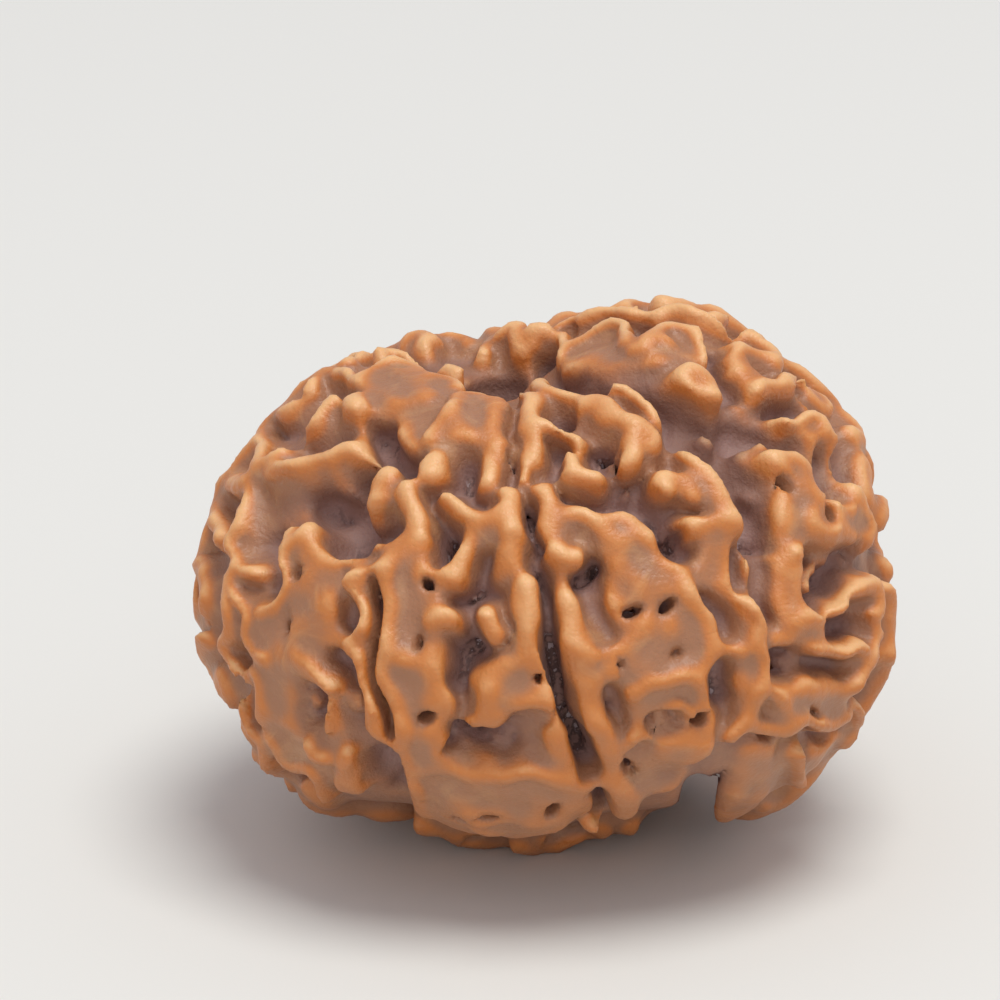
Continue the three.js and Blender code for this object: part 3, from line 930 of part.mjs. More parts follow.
function solid(geometry) {
  return new wasm.Manifold(
    new wasm.Mesh({
      numProp: 3,
      vertProperties: new Float32Array(geometry.attributes.position.array),
      triVerts: new Uint32Array(geometry.index.array),
    }),
  );
}

// Trims the seed level with the ground, so that it rests on small flats.
function restOnGround(geometry) {
  const ground = new THREE.BoxGeometry(3 * HALF_WIDTH, 3 * HALF_DEPTH, 4);
  ground.translate(0, 0, -2);
  const trimmed = solid(geometry).subtract(solid(positionsOnly(ground))).getMesh();
  const made = new THREE.BufferGeometry();
  made.setAttribute("position", new THREE.BufferAttribute(trimmed.vertProperties, 3));
  made.setIndex(new THREE.BufferAttribute(trimmed.triVerts, 1));
  made.computeBoundingBox();
  const box = made.boundingBox;
  made.translate(-(box.min.x + box.max.x) / 2, -(box.min.y + box.max.y) / 2, 0);
  made.computeVertexNormals();
  return made;
}

const stoneFinish = new THREE.MeshStandardMaterial({ color: 0xb9753f, roughness: 0.5, metalness: 0 });
const stone = new THREE.Mesh(restOnGround(makeStone()), stoneFinish);
stone.name = "stone";

const seed = new THREE.Group();
seed.add(stone);

export default seed;
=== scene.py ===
"""A rudraksha seed, dressed for a close view: one stone with its carved net of ridges and pits.

The form is a formula, worked out on a fine grid. Valleys are cut out of a lobed body, ridges and
plates are raised from it, cavities are cut into those, and small knobs stand in the cavities.
Slits, pits and the gap beside the leg are sunk last. The form's own lengths are millimetres,
measured from the middle of the body, and the viewer of the traced side is at -Y.
"""

import math
from typing import NamedTuple

import bpy
import numpy as np
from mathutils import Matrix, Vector


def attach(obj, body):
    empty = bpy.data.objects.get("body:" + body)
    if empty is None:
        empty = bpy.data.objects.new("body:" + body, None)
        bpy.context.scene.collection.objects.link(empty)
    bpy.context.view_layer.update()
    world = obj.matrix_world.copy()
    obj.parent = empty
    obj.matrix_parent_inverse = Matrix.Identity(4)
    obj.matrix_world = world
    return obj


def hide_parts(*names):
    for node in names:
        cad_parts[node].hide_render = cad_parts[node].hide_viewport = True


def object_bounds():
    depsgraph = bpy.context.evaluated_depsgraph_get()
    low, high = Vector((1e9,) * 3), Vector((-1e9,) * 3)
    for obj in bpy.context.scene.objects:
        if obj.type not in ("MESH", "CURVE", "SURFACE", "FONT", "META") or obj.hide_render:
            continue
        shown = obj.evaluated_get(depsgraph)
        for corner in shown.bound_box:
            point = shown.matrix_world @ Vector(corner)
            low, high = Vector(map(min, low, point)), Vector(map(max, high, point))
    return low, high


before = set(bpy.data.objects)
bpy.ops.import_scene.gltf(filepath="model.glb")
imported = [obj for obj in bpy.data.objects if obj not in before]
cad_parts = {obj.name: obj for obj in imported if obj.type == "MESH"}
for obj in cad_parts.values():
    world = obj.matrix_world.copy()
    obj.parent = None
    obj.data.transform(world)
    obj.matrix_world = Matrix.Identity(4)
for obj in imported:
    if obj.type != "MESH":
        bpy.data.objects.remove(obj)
CAD_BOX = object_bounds()

bl_info = {
    "name": "Rudraksha seed",
    "version": (1, 0, 0),
    "blender": (4, 5, 0),
    "location": "3D view > Sidebar > Seed",
    "description": "Builds a rudraksha seed with its stage",
    "category": "Object",
}

MM = 0.001

# Driving dimensions, measured from the middle of the body.
HALF_WIDTH = 14.9
HALF_DEPTH = 14.0
HALF_HEIGHT = 11.45
FLOOR_BELOW_MIDDLE = 10.95
BODY_SINK = 1.3
RIM_SINK = 0.5
GROWTH_AXIS = (-0.17, 0.03, 0.985)

# The chart: where a viewer at this height and distance sees a point of the seed.
VIEW_ELEVATION = math.radians(20)
VIEW_DISTANCE = 220.0
FRAME_MIDDLE = (-1.915, 3.617)
FRAME_WIDTH = 42.553

# Outline radii seen by that viewer, every 15 degrees anticlockwise from the right.
OUTLINE = [
    15, 15.05, 15.05, 14.3, 14.05, 12.8, 11.5, 11.3, 12.3, 13.35, 13.85, 14.5,
    15.05, 14.9, 14.4, 13.6, 11.8, 11.6, 11.3, 10.9, 11.9, 13.6, 14.2, 15.05,
]

# Broad swellings of the envelope: direction, reach in degrees, height.
SWELLINGS = [
    [(-0.16, 0.04, 1), 21, -1.5],
    [(0.15, 0, -1), 40, 0.45],
    [(0.75, -0.62, 0.1), 26, 0.25],
    [(-0.4, -0.9, -0.1), 30, 0.3],
]

# Valleys between the lobes: radius, depth of the bed below the envelope, chart points.
VALLEYS = [
    (0.45, 1.5, [(-1.45, 8.2), (-1.5, 6.5), (-1.3, 5), (-0.9, 3.9), (-0.5, 2.4), (0, 0.6), (0.1, -1)]),
    (0.5, 2.2, [(0.1, -1), (0.3, -2.6), (0.75, -4.5), (1.15, -5.9), (1.65, -7.4), (2.3, -9),
        (2.7, -10.2)]),
    (0.4, 1.7, [(-7, 0.6), (-7.1, -1), (-7.2, -2.5), (-7.15, -4), (-6.8, -5.2), (-6.7, -6.8),
        (-6.6, -7.8), (-6.2, -9.4)]),
    (0.6, 2.3, [(0.5, 9.4), (1.6, 8.75), (2.8, 8.6), (4.9, 8), (6, 7), (7, 6), (7.9, 5.2), (8.6, 4.4),
        (9, 3.2), (9.4, 1.2), (9.6, -0.4)]),
    (0.4, 1.9, [(9.6, -0.4), (9.9, -2), (10.1, -3.4), (9.9, -5), (9.3, -6.1)]),
    (0.6, 2, [(-7.3, 7.2), (-6.9, 6.3), (-6.3, 5.6), (-5.8, 5)]),
    (0.6, 2, [(-5.2, 4.3), (-4.9, 3.4), (-4.3, 2.6), (-4, 1.7)]),
    (0.55, 2.2, [(-2.4, 1.3), (-2.7, 0.5), (-2.6, -0.2), (-3.1, -1), (-3.4, -2), (-3.5, -3.4),
        (-3.6, -4.3)]),
    (0.55, 1.7, [(1.2, 4.1), (2.5, 3.95), (4, 3.8), (5, 3.4), (5.6, 2.8), (5.6, 1.9)]),
    (0.5, 1.6, [(3, 6.2), (3.6, 5.1), (4.1, 4.6)]),
    (0.3, 1.3, [(-7.6, 9.65), (-6.9, 9.9), (-6, 9.98), (-5.2, 9.8), (-4.8, 9.4)]),
    (0.4, 1.5, [(12, 5.6), (12.2, 4.8), (12.4, 3.9)]),
    (0.35, 1.4, [(13.1, 5.8), (13.35, 5), (13.5, 4.3)]),
    (0.35, 1.4, [(10, 7.5), (10.5, 7.8), (11.2, 7.7)]),
    (0.35, 1.3, [(10.9, -6.2), (11.4, -6.25), (12.1, -6.6)]),
    (0.3, 1.3, [(-12.6, 4.3), (-13.2, 3), (-13.9, 1.6)]),
    (0.35, 1.5, [(2, 11.5), (3.4, 11.75), (4.1, 11.2), (5, 11.75), (6.8, 11.4), (7.5, 10.8),
        (8.8, 10.75)]),
]

# Cavities, cut out of the ridges and plates: radius, depth of the bed, chart points.
CAVITIES = [
    (0.78, 2.6, [(-9.8, 3.9), (-9, 3.5), (-8.3, 3.9), (-8, 4.4)]),
    (0.88, 2.9, [(-8.7, 3), (-8.6, 2.3)]),
    (0.38, 2.2, [(-7.6, 2.75), (-6.7, 2.6)]),
    (0.4, 1.9, [(-12.2, 2.2), (-11.75, 1.2), (-11.7, 0.2)]),
    (0.33, 1.4, [(-8.4, -1), (-8.5, -1.7)]),
    (0.33, 1.5, [(-9.1, -3.3), (-8.6, -3.8)]),
    (0.5, 2.2, [(-7.3, 7), (-7, 6.2), (-6.4, 5.7), (-5.9, 5)]),
    (0.33, 1.5, [(-10.3, 6.1), (-9.3, 6.2)]),
    (0.33, 1.2, [(-10.9, 7), (-9.9, 7.9), (-9, 8.6), (-8.3, 8)]),
    (0.3, 1.4, [(-7.5, 9.65), (-6.9, 9.85), (-6, 9.95), (-5.2, 9.8), (-4.8, 9.4)]),
    (0.5, 2.3, [(-3.6, 5.2), (-3.4, 4.5), (-2.7, 3.95)]),
    (0.35, 1.7, [(-4.9, 3.7), (-4.75, 2.9)]),
    (0.44, 2.6, [(-4.1, 2.5), (-3.95, 1.9), (-4, 1.4)]),
    (0.4, 2.3, [(-2.5, 1.1), (-2.7, 0.4), (-2.7, -0.3)]),
    (0.33, 2.1, [(-2.2, -0.2), (-1.85, -0.9), (-1.65, -1.8)]),
    (0.43, 2.2, [(-3.5, -0.7), (-3.35, -1.6)]),
    (0.68, 2.6, [(-3.2, -2.3), (-2.5, -2.8)]),
    (0.43, 2.3, [(-3.5, -3.4), (-3.45, -4.2)]),
    (0.36, 2.3, [(2.05, 0.75), (1.75, 0.3)]),
    (0.35, 1.2, [(1.95, -0.4), (2.1, -1.3), (2.7, -2.2)]),
    (0.38, 1.9, [(1.2, 3.95), (2.2, 3.75), (3.6, 3.85), (4.6, 3.3), (5.2, 2.8)]),
    (0.43, 2.7, [(5.5, 2.3), (5.6, 1.8)]),
    (0.33, 1.9, [(5.2, 3.6), (6.2, 3.6)]),
    (0.4, 2.4, [(2.3, 5.9), (2.7, 5.4), (2.9, 4.9)]),
    (0.3, 1.7, [(0.4, 6), (0.45, 5.1)]),
    (0.38, 2, [(3.4, 4.7), (4, 4.6)]),
    (0.85, 2.3, [(6, 7.2), (7.2, 6.6), (8, 5.6), (8.6, 4.8)]),
    (0.78, 2.4, [(8.4, 7), (9.2, 6.6)]),
    (0.45, 2.3, [(9, 4), (9.2, 3), (9.4, 2.2)]),
    (0.3, 1.5, [(9.4, 1), (9.5, -0.2), (9.75, -1.4)]),
    (0.48, 2.7, [(1.4, 8.95), (2.5, 8.8), (3.8, 8.75), (4.9, 8.2), (5.4, 7.8)]),
    (0.36, 1.5, [(4.05, 11.3), (4.15, 10.9)]),
    (0.3, 1.9, [(7.45, 10.3), (7.4, 9.4)]),
    (0.38, 1.7, [(8, 8.8), (8.4, 8.1)]),
    (0.28, 1.3, [(2.2, 11.5), (3.3, 11.75), (4.3, 11.75), (5.4, 11.75), (6.8, 11.4), (7.6, 11),
        (8.8, 10.75)]),
    (0.41, 1.7, [(12.1, 5.4), (12.25, 4.6), (12.4, 4)]),
    (0.36, 1.6, [(13.2, 5.4), (13.4, 4.6)]),
    (0.33, 1.8, [(10.15, 7.55), (10.6, 7.75), (11.1, 7.75)]),
    (0.26, 1.6, [(9.9, 6.15), (10.8, 6.15)]),
    (0.28, 2.1, [(11.5, 1.05), (12.4, 0.95), (13.5, 1.15)]),
    (0.5, 2.5, [(12.7, 0.6), (12.1, 0.25), (11.65, -0.3)]),
    (0.25, 1.9, [(12.3, -1.95), (12.9, -1.75), (13.6, -1.85)]),
    (0.42, 2.5, [(10.2, -3.4), (10.6, -3.35)]),
    (0.18, 1.7, [(11.3, -3.6), (12.9, -3.55)]),
    (0.32, 1.2, [(7.1, -0.5), (7.7, -1.1), (7.8, -1.9)]),
    (0.33, 1.8, [(7.65, -3.7), (7.7, -4.8)]),
    (0.21, 1.5, [(8.3, 1.4), (8.25, 0.6), (8.5, 0)]),
    (0.38, 1.9, [(-7.3, -7.9), (-6.9, -8.7)]),
    (0.33, 1.5, [(-10.9, -8.35), (-10.1, -8.6)]),
    (0.35, 2.4, [(-3.5, -6.6), (-2.7, -6.75), (-1.8, -7)]),
    (0.42, 2.1, [(-10, -4.9), (-10, -5.4)]),
    (0.38, 2.1, [(-8.2, -4.9), (-8.2, -5.5)]),
    (0.4, 1.8, [(4.85, -5.95), (5.25, -6)]),
    (0.35, 1, [(-1.4, -5.8), (-0.2, -5.8)]),
    (0.38, 1.5, [(0.45, 7.3), (0.75, 7.4)]),
    (0.25, 1.1, [(2.95, -4.9), (3.2, -5.8)]),
    (0.3, 1.2, [(14.6, 0.6), (14, 0.6)]),
    (0.35, 1.3, [(13.9, -4.6), (13.2, -4.6)]),
]

# Small forms that stand in the cavities: radius, depth of the crest, chart points.
INNER_KNOBS = [
    (0.2, 0.1, [(2.85, 8.5), (3.3, 8.5), (3.9, 8.15), (4.5, 7.65), (5, 7.05)]),
    (0.72, 0.1, [(-7.05, 4.55), (-7.15, 3.95)]),
    (0.52, 0.05, [(-5.8, 4), (-5.75, 3.3), (-5.6, 2.6)]),
    (0.64, 0, [(-4.95, 5.5), (-4.95, 5.15)]),
    (0.45, 0.4, [(-2.25, 5.5), (-2.25, 4.5)]),
    (0.4, 0.05, [(-4.15, 3.85), (-3.8, 3.35), (-3.3, 3.05), (-2.8, 2.8), (-2.2, 2.75), (-1.7, 3.2)]),
    (0.48, 0.2, [(-3, 2.4), (-2.5, 2.2), (-1.9, 2.3)]),
    (0.42, 0.15, [(-3.15, 2.3), (-3.35, 1.5), (-3.65, 0.85), (-4, 0.55)]),
    (0.5, 0, [(-1.5, 3.9), (-1.45, 3.2), (-1.5, 2.4)]),
    (0.6, 0.1, [(-1.5, 2.2), (-1.4, 1.4), (-1.55, 0.5, 0.3)]),
    (0.74, -0.1, [(-0.85, -0.35), (-0.83, -0.8)]),
    (0.62, 0, [(-0.7, -1.2), (-0.6, -2), (-0.65, -2.9)]),
    (0.45, 0.05, [(-4.95, -1.55), (-4.25, -1.5)]),
    (0.4, 0.05, [(-2.6, -1.2), (-2.35, -1.75), (-1.95, -2.15)]),
    (0.48, 0, [(-1.5, -3.4), (-2.1, -3.95), (-2.5, -4.5), (-2.55, -5.1), (-2.2, -5.6)]),
    (0.55, 0, [(3.65, 6.2), (3.65, 5.6)]),
    (0.36, 0, [(4.35, 6.75), (4.55, 6.4), (4.5, 6)]),
    (0.5, 0.05, [(1.35, 4.75), (2.2, 4.7)]),
    (0.28, 0.1, [(1, 5.5), (1.2, 5)]),
    (0.48, 0, [(5.3, 4.65), (5.35, 4.35)]),
    (0.55, 0, [(6.35, 4.5), (6.6, 4.2)]),
    (0.5, 0, [(6.3, 2.6), (7.1, 2.6), (7.8, 2.5)]),
    (0.5, 0, [(0.75, 1.5), (0.75, 1.25), (1.3, 1.25)]),
    (0.35, 1.2, [(8.2, 7.45), (8.5, 7.3)]),
    (0.32, 1.3, [(6.85, 6.2), (7, 6.1)]),
    (0.4, 1, [(8.65, 5.65), (8.9, 5.5), (9.3, 5.7)]),
    (0.4, 1.6, [(8.7, 3.9), (9.2, 3.7)]),
    (0.18, 1.2, [(2.35, 5.45), (2.8, 5.8)]),
    (0.2, 1.2, [(3.6, 3.8)]),
    (0.2, 1, [(11.6, 0.7), (11.35, 0.3), (11.2, -0.1)]),
    (0.2, 1.1, [(11.5, 1.2), (12, 1.2)]),
    (0.2, 1.3, [(12.6, 1), (12.9, 0.9), (13.3, 1.2)]),
    (0.19, 1.2, [(13.1, -1.4), (13.1, -2)]),
    (0.19, 1.2, [(10.3, -3.1), (10.9, -3.5)]),
    (0.2, 1.5, [(-5.2, 3.4), (-5.1, 3.1)]),
    (0.18, 1.3, [(-2.1, -6.5), (-1.8, -6.75), (-1.5, -6.4)]),
    (0.2, 1.3, [(-3.4, -6.55), (-3.3, -6.7)]),
    (0.17, 0.9, [(-10.5, -4.9), (-10, -4.7), (-9.8, -5.1), (-10.3, -5.5)]),
    (0.17, 0.9, [(-8.4, -4.8), (-8, -4.75), (-7.9, -5.2), (-8.3, -5.4), (-8.4, -5)]),
    (0.17, 0.8, [(4.7, -5.9), (4.95, -5.6), (5.3, -5.85), (5.2, -6.25), (4.85, -6.3)]),
    (0.2, 0.9, [(5.5, -6.2)]),
]

# Ridges: radius, depth of the crest below the envelope, chart points, and how much the flanks
# spread, where that isn't the usual. A third value on a point is a further depth there.
RIDGES = [
    # Crests behind the pole pit.
    (0.4, 0.1, [(-5, 10.6), (-4.5, 10.7), (-4.1, 10.8), (-3.5, 10.7), (-3.1, 10.3, 0.3)], 0.8),
    (0.34, 0.1, [(-2.55, 10.1), (-2.5, 10.45), (-2.1, 10.75)]),
    (0.42, -0.6, [(-1.9, 10.9, 0.2), (-1.3, 11.25), (-1.2, 10.6, 0.4), (-1, 9.9, 0.9)]),
    (0.42, -0.65, [(-0.5, 11.15), (-0.2, 11.2)]),
    (0.4, 0.2, [(-0.9, 10.2, 0.2), (-0.2, 10.35), (0.4, 10.9)]),
    (0.23, 0.1, [(0.8, 11.2), (0.75, 10.6), (0.5, 10)]),
    # Arches and folds of the upper left lobes, which stand one behind the other.
    (0.38, 0, [(-12.3, 5.1), (-12.3, 6.4), (-12, 7.1), (-11.2, 7.65), (-10.6, 8), (-10.2, 8.5),
        (-9.8, 9), (-9.2, 9.3), (-8.6, 9.35)], 0.4),
    (0.35, 0.05, [(-9, 9.2), (-8.5, 9.2), (-8.2, 8.8), (-8, 8.2), (-7.6, 7.6)], 0.4),
    (0.35, 0.1, [(-11.8, 5.25), (-11.2, 5.9), (-10.65, 6.2), (-10.3, 6.8), (-9.8, 7.3), (-9.35, 7.95),
        (-8.95, 8.15), (-8.5, 8.05), (-8.2, 7.6), (-7.65, 7.2)], 0.5),
    (0.29, 0.2, [(-7.55, 7.1), (-7.6, 6.6)]),
    (0.44, 0, [(-12.2, 4.6, 0.3), (-11.9, 4.95), (-11, 5.2), (-10.3, 5.5), (-9.3, 5.65), (-8.8, 5.95),
        (-8.3, 6.05), (-7.9, 5.85), (-7.5, 5.5), (-7.1, 5.1), (-6.6, 5.05), (-6.2, 4.85),
        (-5.8, 4.5)], 0.75),
    (0.4, 0, [(-7.3, 10.2), (-6.6, 10.5), (-5.8, 10.65), (-5.3, 10.45)], 0.5),
    (0.29, 0, [(-7.1, 10), (-6.4, 10.2), (-5.5, 10.1), (-4.9, 9.9), (-4.2, 9.55), (-3.6, 9.2)], 0.4),
    (0.34, 0.05, [(-7.6, 9.2), (-7, 9.5), (-6.2, 9.65), (-5.7, 9.55), (-5.2, 9.3), (-4.9, 9)]),
    (0.4, 0.1, [(-4.8, 8.9), (-4.1, 8.9), (-3.7, 8.6)]),
    # Left lobe.
    (0.4, 0, [(-14.2, 2.2), (-14.25, 3.1), (-14.15, 3.9), (-13.9, 4.4), (-13.4, 4.5),
        (-12.9, 4.45)], 0.3),
    (0.34, 0, [(-12.8, 4.4), (-13, 3.6), (-13.3, 2.6), (-13.6, 1.8), (-13.4, 1), (-13.7, 0.2),
        (-13.75, -0.5), (-13.6, -1.3), (-13.65, -2.2), (-13.9, -2.8), (-13.7, -3.4), (-13.3, -4),
        (-13.2, -4.6), (-13.1, -5.5), (-12.8, -6.2), (-12.2, -6.7), (-12, -7.3), (-11.9, -8)], 0.25),
    (0.29, 0.05, [(-13.5, -0.1), (-13.1, -0.8), (-12.95, -1.4), (-13.05, -2.2), (-12.6, -2.9),
        (-12, -3.2)]),
    (0.25, 0.1, [(-11.1, 2.3), (-11.25, 1.7), (-11.35, 1), (-11.4, 0.2), (-11.5, -0.4), (-11.8, -0.8),
        (-12.4, -1.1)], 0.15),
    (0.29, 0.1, [(-9.8, 2.9), (-10.3, 2.4), (-10.9, 1.8)], 0.25),
    (0.32, 0.15, [(-9.7, 2.8), (-9.6, 2), (-9.2, 1.45), (-8.5, 1.1), (-7.9, 1)], 0.15),
    (0.32, 0.1, [(-13.1, 0.7), (-12.6, 0.75), (-12.2, 0.7)]),
    (0.34, -0.1, [(-7.05, 0.6), (-7.8, 0.5), (-8.35, 0.2), (-8.45, -0.15), (-8.2, -0.6), (-7.9, -1.1),
        (-7.9, -1.7), (-8.3, -2.1), (-8.65, -2.55), (-8.6, -2.8), (-8.3, -3.1), (-7.95, -3.6),
        (-7.7, -4.3), (-7.5, -5), (-7.65, -5.6), (-7.7, -6.2), (-7.2, -6.5)], 0.15),
    (0.25, 0.1, [(-13, -4.3), (-12.6, -3.75), (-12.2, -4.2), (-12.1, -5), (-12.2, -5.7)]),
    (0.29, 0.1, [(-10.7, -3), (-10.1, -3.5), (-9.6, -4.1), (-9.1, -4.6), (-8.7, -4.65),
        (-8.4, -4.4)], 0.4),
    (0.29, 0.2, [(-9.4, -5.2), (-9.3, -6.2)]),
    (0.34, 0, [(-11.9, -6.6), (-11.6, -7.1), (-11.4, -7.6), (-10.9, -7.95), (-10.2, -8), (-9.85, -8.4),
        (-9.6, -9.4)], 0.15),
    (0.34, 0.1, [(-10.2, -6.9), (-10, -7.3), (-9.4, -7.5)]),
    (0.29, 0.15, [(-8.4, -7.5), (-8.6, -8.9)]),
    (0.7, 0.2, [(-8.1, -8.8)]),
    # Middle left lobe.
    (0.34, 0.05, [(-3.6, 8.1), (-4.1, 7.5), (-4.6, 6.9), (-4.8, 6.5)], 0.2),
    (0.34, 0.1, [(-3.5, 8.25), (-3, 8.3), (-2.4, 8.1), (-2.2, 7), (-2.15, 6.1)], 0.15),
    (0.46, 0.5, [(-2.25, 5.6), (-2.3, 4.7, 0.2)], 0.15),
    (0.67, 0.05, [(-4.93, 5.5), (-4.95, 5, 0.1)], 0.15),
    (0.52, 0, [(-7, 4.7), (-7.35, 4.1), (-7.1, 3.7)], 0.2),
    (0.57, 0, [(-5.85, 4.05), (-5.8, 3.4), (-5.6, 2.7), (-5.3, 2.2)], 0.2),
    (0.23, 0.1, [(-7.6, 2.1), (-7.1, 2), (-6.2, 2.05)], 0.45),
    (0.52, 0, [(-6.85, 0.8), (-6.5, 1.4), (-5.9, 1.75), (-5.2, 2), (-4.8, 1.8), (-4.5, 1.3),
        (-4.1, 0.75), (-3.85, 0.7)], 0.15),
    (0.4, 0, [(-6.8, 0.8), (-6.8, -0.3), (-6.85, -1.4), (-7, -2.5), (-7.05, -3.4), (-6.8, -4.2),
        (-6.45, -5), (-6.35, -6.2), (-6.3, -7.3), (-5.9, -8.5), (-5.5, -9.3), (-5.2, -10)], 0.15),
    (0.44, 0.05, [(-4.3, 3.9), (-4.1, 3.5), (-3.7, 3.3), (-3.2, 3.1), (-2.7, 3), (-2.2, 3.1)], 0.3),
    (0.48, 0.1, [(-3.25, 2.6), (-3.25, 1.9), (-3.45, 1.2), (-3.75, 0.7)], 0.15),
    (0.55, 0, [(-1.5, 3.95), (-1.5, 3.2), (-1.3, 2.5)], 0.15),
    (0.69, 0.15, [(-1.5, 2.2), (-1.45, 1.4), (-1.6, 0.6, 0.3)], 0.15),
    (0.46, 0.05, [(-2.6, -1.1), (-2.35, -1.8), (-2, -2.2)], 0.15),
    (0.52, 0.05, [(-4.6, -1.5), (-4.2, -1.5)]),
    (0.4, 0.2, [(-6.3, -3.1), (-5.9, -3.15)], 0.45),
    (0.7, -0.05, [(-0.83, -0.25), (-0.83, -0.9)], 0.15),
    (0.67, 0, [(-0.75, -1), (-0.6, -2), (-0.65, -2.9)], 0.15),
    (0.48, 0, [(-1.5, -3.3), (-2.1, -3.75), (-2.6, -4.3), (-2.7, -5), (-2.5, -5.7), (-2.2, -5.95)], 0.15),
    (0.34, 0.1, [(0, -2.6), (0, -3.4), (0.2, -4.4), (0.35, -5.1)], 0.15),
    (0.34, 0.1, [(-3.1, -6.05), (-3.7, -6.5), (-4.3, -7), (-4.6, -7.5)], 0.2),
    (0.4, 0.1, [(-5.2, -8.1), (-4, -8.1), (-2, -8.3), (0, -8.2), (1, -8.3)], 0.5),
    (0.34, 0.1, [(-3.2, -9.9), (-2.9, -10.5), (-2.1, -10.8)], 0.45),
    (0.48, 0, [(2.2, -10.5)]),
    # Lips and finger beside the middle suture.
    (0.11, 0.2, [(-0.95, 8.2), (-0.9, 7), (-0.95, 5.6), (-0.8, 4.6)]),
    (0.14, 0.3, [(-1.9, 8), (-1.85, 6.6), (-1.7, 5.6)]),
    (0.4, 0.05, [(-0.5, 8.2), (-0.55, 7.3), (-0.45, 6.5), (-0.3, 5.6)], 0.25),
    (0.69, 0, [(0.12, 4.15), (0.1, 3.4), (0.2, 2.7)], 0.15),
    (0.57, 0, [(0.75, 1.4, 0)], 0.15),
    (0.34, 0, [(0.65, 1.75), (1.1, 1.4), (1.5, 1.35)], 0.25),
    (0.52, 0.3, [(0.85, 0.6), (0.8, -0.3, 0.1)], 0.15),
    (0.52, 0.05, [(0.95, -0.7), (1.1, -1.4), (1.35, -2.1), (1.7, -2.6)], 0.15),
    (0.7, 0, [(1.6, -2.7), (1.65, -3.6), (1.8, -4.6), (1.95, -5.6), (2.3, -6.6), (2.6, -7.5),
        (2.85, -8.4), (3.25, -9.3), (3.6, -9.9, 0.2)], 0.15),
    (0.29, 0.1, [(1.1, -0.4), (1.35, -1), (1.4, -1.5), (1.7, -1.95), (2.15, -2.4), (2.3, -2.9)], 0.15),
    (0.48, 0.1, [(2.2, -4), (2.85, -3.95)], 0.15),
    (0.23, 0.25, [(2.95, -7.15), (3.4, -6.95), (3.75, -6.55)]),
    # Right middle lobe.
    (0.4, 0.05, [(-0.5, 8.95), (0.2, 8.55), (1, 8.2)], 0.25),
    (0.52, 0, [(1.2, 8), (1.8, 8.05), (2.4, 7.8), (3, 7.3), (3.6, 6.95), (4, 6.9)], 0.45),
    (0.4, 0, [(4.1, 6.9), (4.5, 6.5), (4.5, 6.1, 0.2)], 0.15),
    (0.57, 0, [(3.6, 6.6), (3.6, 6), (3.65, 5.5, 0.2)], 0.15),
    (0.34, 0.05, [(0, 7.1), (0.5, 6.75), (1, 6.6), (1.35, 6.4), (1.6, 6)], 0.5),
    (0.48, 0, [(1.25, 4.8), (1.7, 4.75), (2.25, 4.7)], 0.15),
    (0.25, 0.1, [(1, 5.6), (1.15, 5.2)], 0.3),
    (0.44, 0, [(0.95, 3.15), (1.5, 3.05), (2, 2.8), (2.6, 2.35), (3.1, 2), (3.4, 1.9),
        (3.4, 1.4, 0.2)], 0.45),
    (0.44, 0, [(2.75, 3.1), (3.3, 3.1), (3.8, 2.65), (4.4, 2.15), (4.95, 1.9), (5.1, 1.5), (5.5, 1),
        (6, 0.6), (6.15, 0.1), (6.25, -0.4), (6.6, -0.95), (7, -1.5), (7.2, -2.3), (7.2, -2.9),
        (6.95, -3.6)], 0.3),
    (0.17, 0.25, [(5.2, -1.75)]),
    (0.34, 0.25, [(4.2, -1.5), (4, -2.1), (3.2, -2.6)], 0.45),
    (0.44, 0, [(4.3, 4.7, 0.2), (4.7, 4.8), (5.2, 4.65), (5.7, 4.55), (6.2, 4.7), (6.7, 4.65), (7, 4.3),
        (7.4, 3.8)], 0.3),
    (0.46, 0, [(6, 2.75), (6.6, 2.9), (7.2, 2.9), (7.8, 2.8)], 0.3),
    (0.23, 0, [(5.8, 5.8, 0.3), (6.3, 5.5), (6.8, 5), (7.2, 4.5), (7.7, 4), (8.05, 3.5), (8.2, 2.9),
        (8.25, 2.3), (8.45, 1.8), (8.9, 1.2), (9, 0.6), (9, -0.2), (9.1, -1), (9.4, -1.8)], 0.15),
    (0.34, 0.05, [(9.1, -2.2), (9.2, -2.8), (9.45, -3.3), (9.5, -4.2), (9.1, -5.1), (8.9, -5.9),
        (8.3, -6.5)], 0.15),
    (0.29, 0.1, [(8.1, 0.9, 0.3), (8.1, 0.3), (8.4, -0.25), (8.8, -0.7), (9, -1.2)], 0.3),
    (0.29, 0.15, [(7.6, -2.65), (8, -2.7), (8.4, -3.1)], 0.45),
    (0.34, 0, [(3.2, -5.2), (3.8, -4.7), (4.6, -4.2), (5.6, -4), (6.4, -4), (6.9, -4.3), (7.2, -4.9),
        (7.3, -5.3)], 0.35),
    (0.23, 0.1, [(5.5, -5.3), (6.2, -5.8)], 0.25),
    # Crests and folds of the top right lobe.
    (0.34, 0.1, [(0.75, 10.3), (1.3, 10.6), (2, 11), (2.8, 11.3), (3.25, 11.3), (3.4, 11),
        (3.5, 10.6)], 0.65),
    (0.34, 0.15, [(3.6, 10.3), (4, 10.35), (4.4, 10.55), (5.2, 10.6)], 0.6),
    (0.37, 0.05, [(4.75, 10.9), (4.95, 11.25), (5.6, 11.3), (6.4, 11.05), (6.8, 10.75), (7.05, 10.4),
        (7, 9.9, 0.2)], 0.55),
    (0.4, 0, [(0.5, 11.2), (1.2, 11.4), (2, 11.65), (3, 11.9), (4.4, 11.9), (5.4, 12), (6.2, 11.85),
        (7.4, 11.5), (8.6, 11.05), (9.4, 10.4), (10, 9.7)], 0.15),
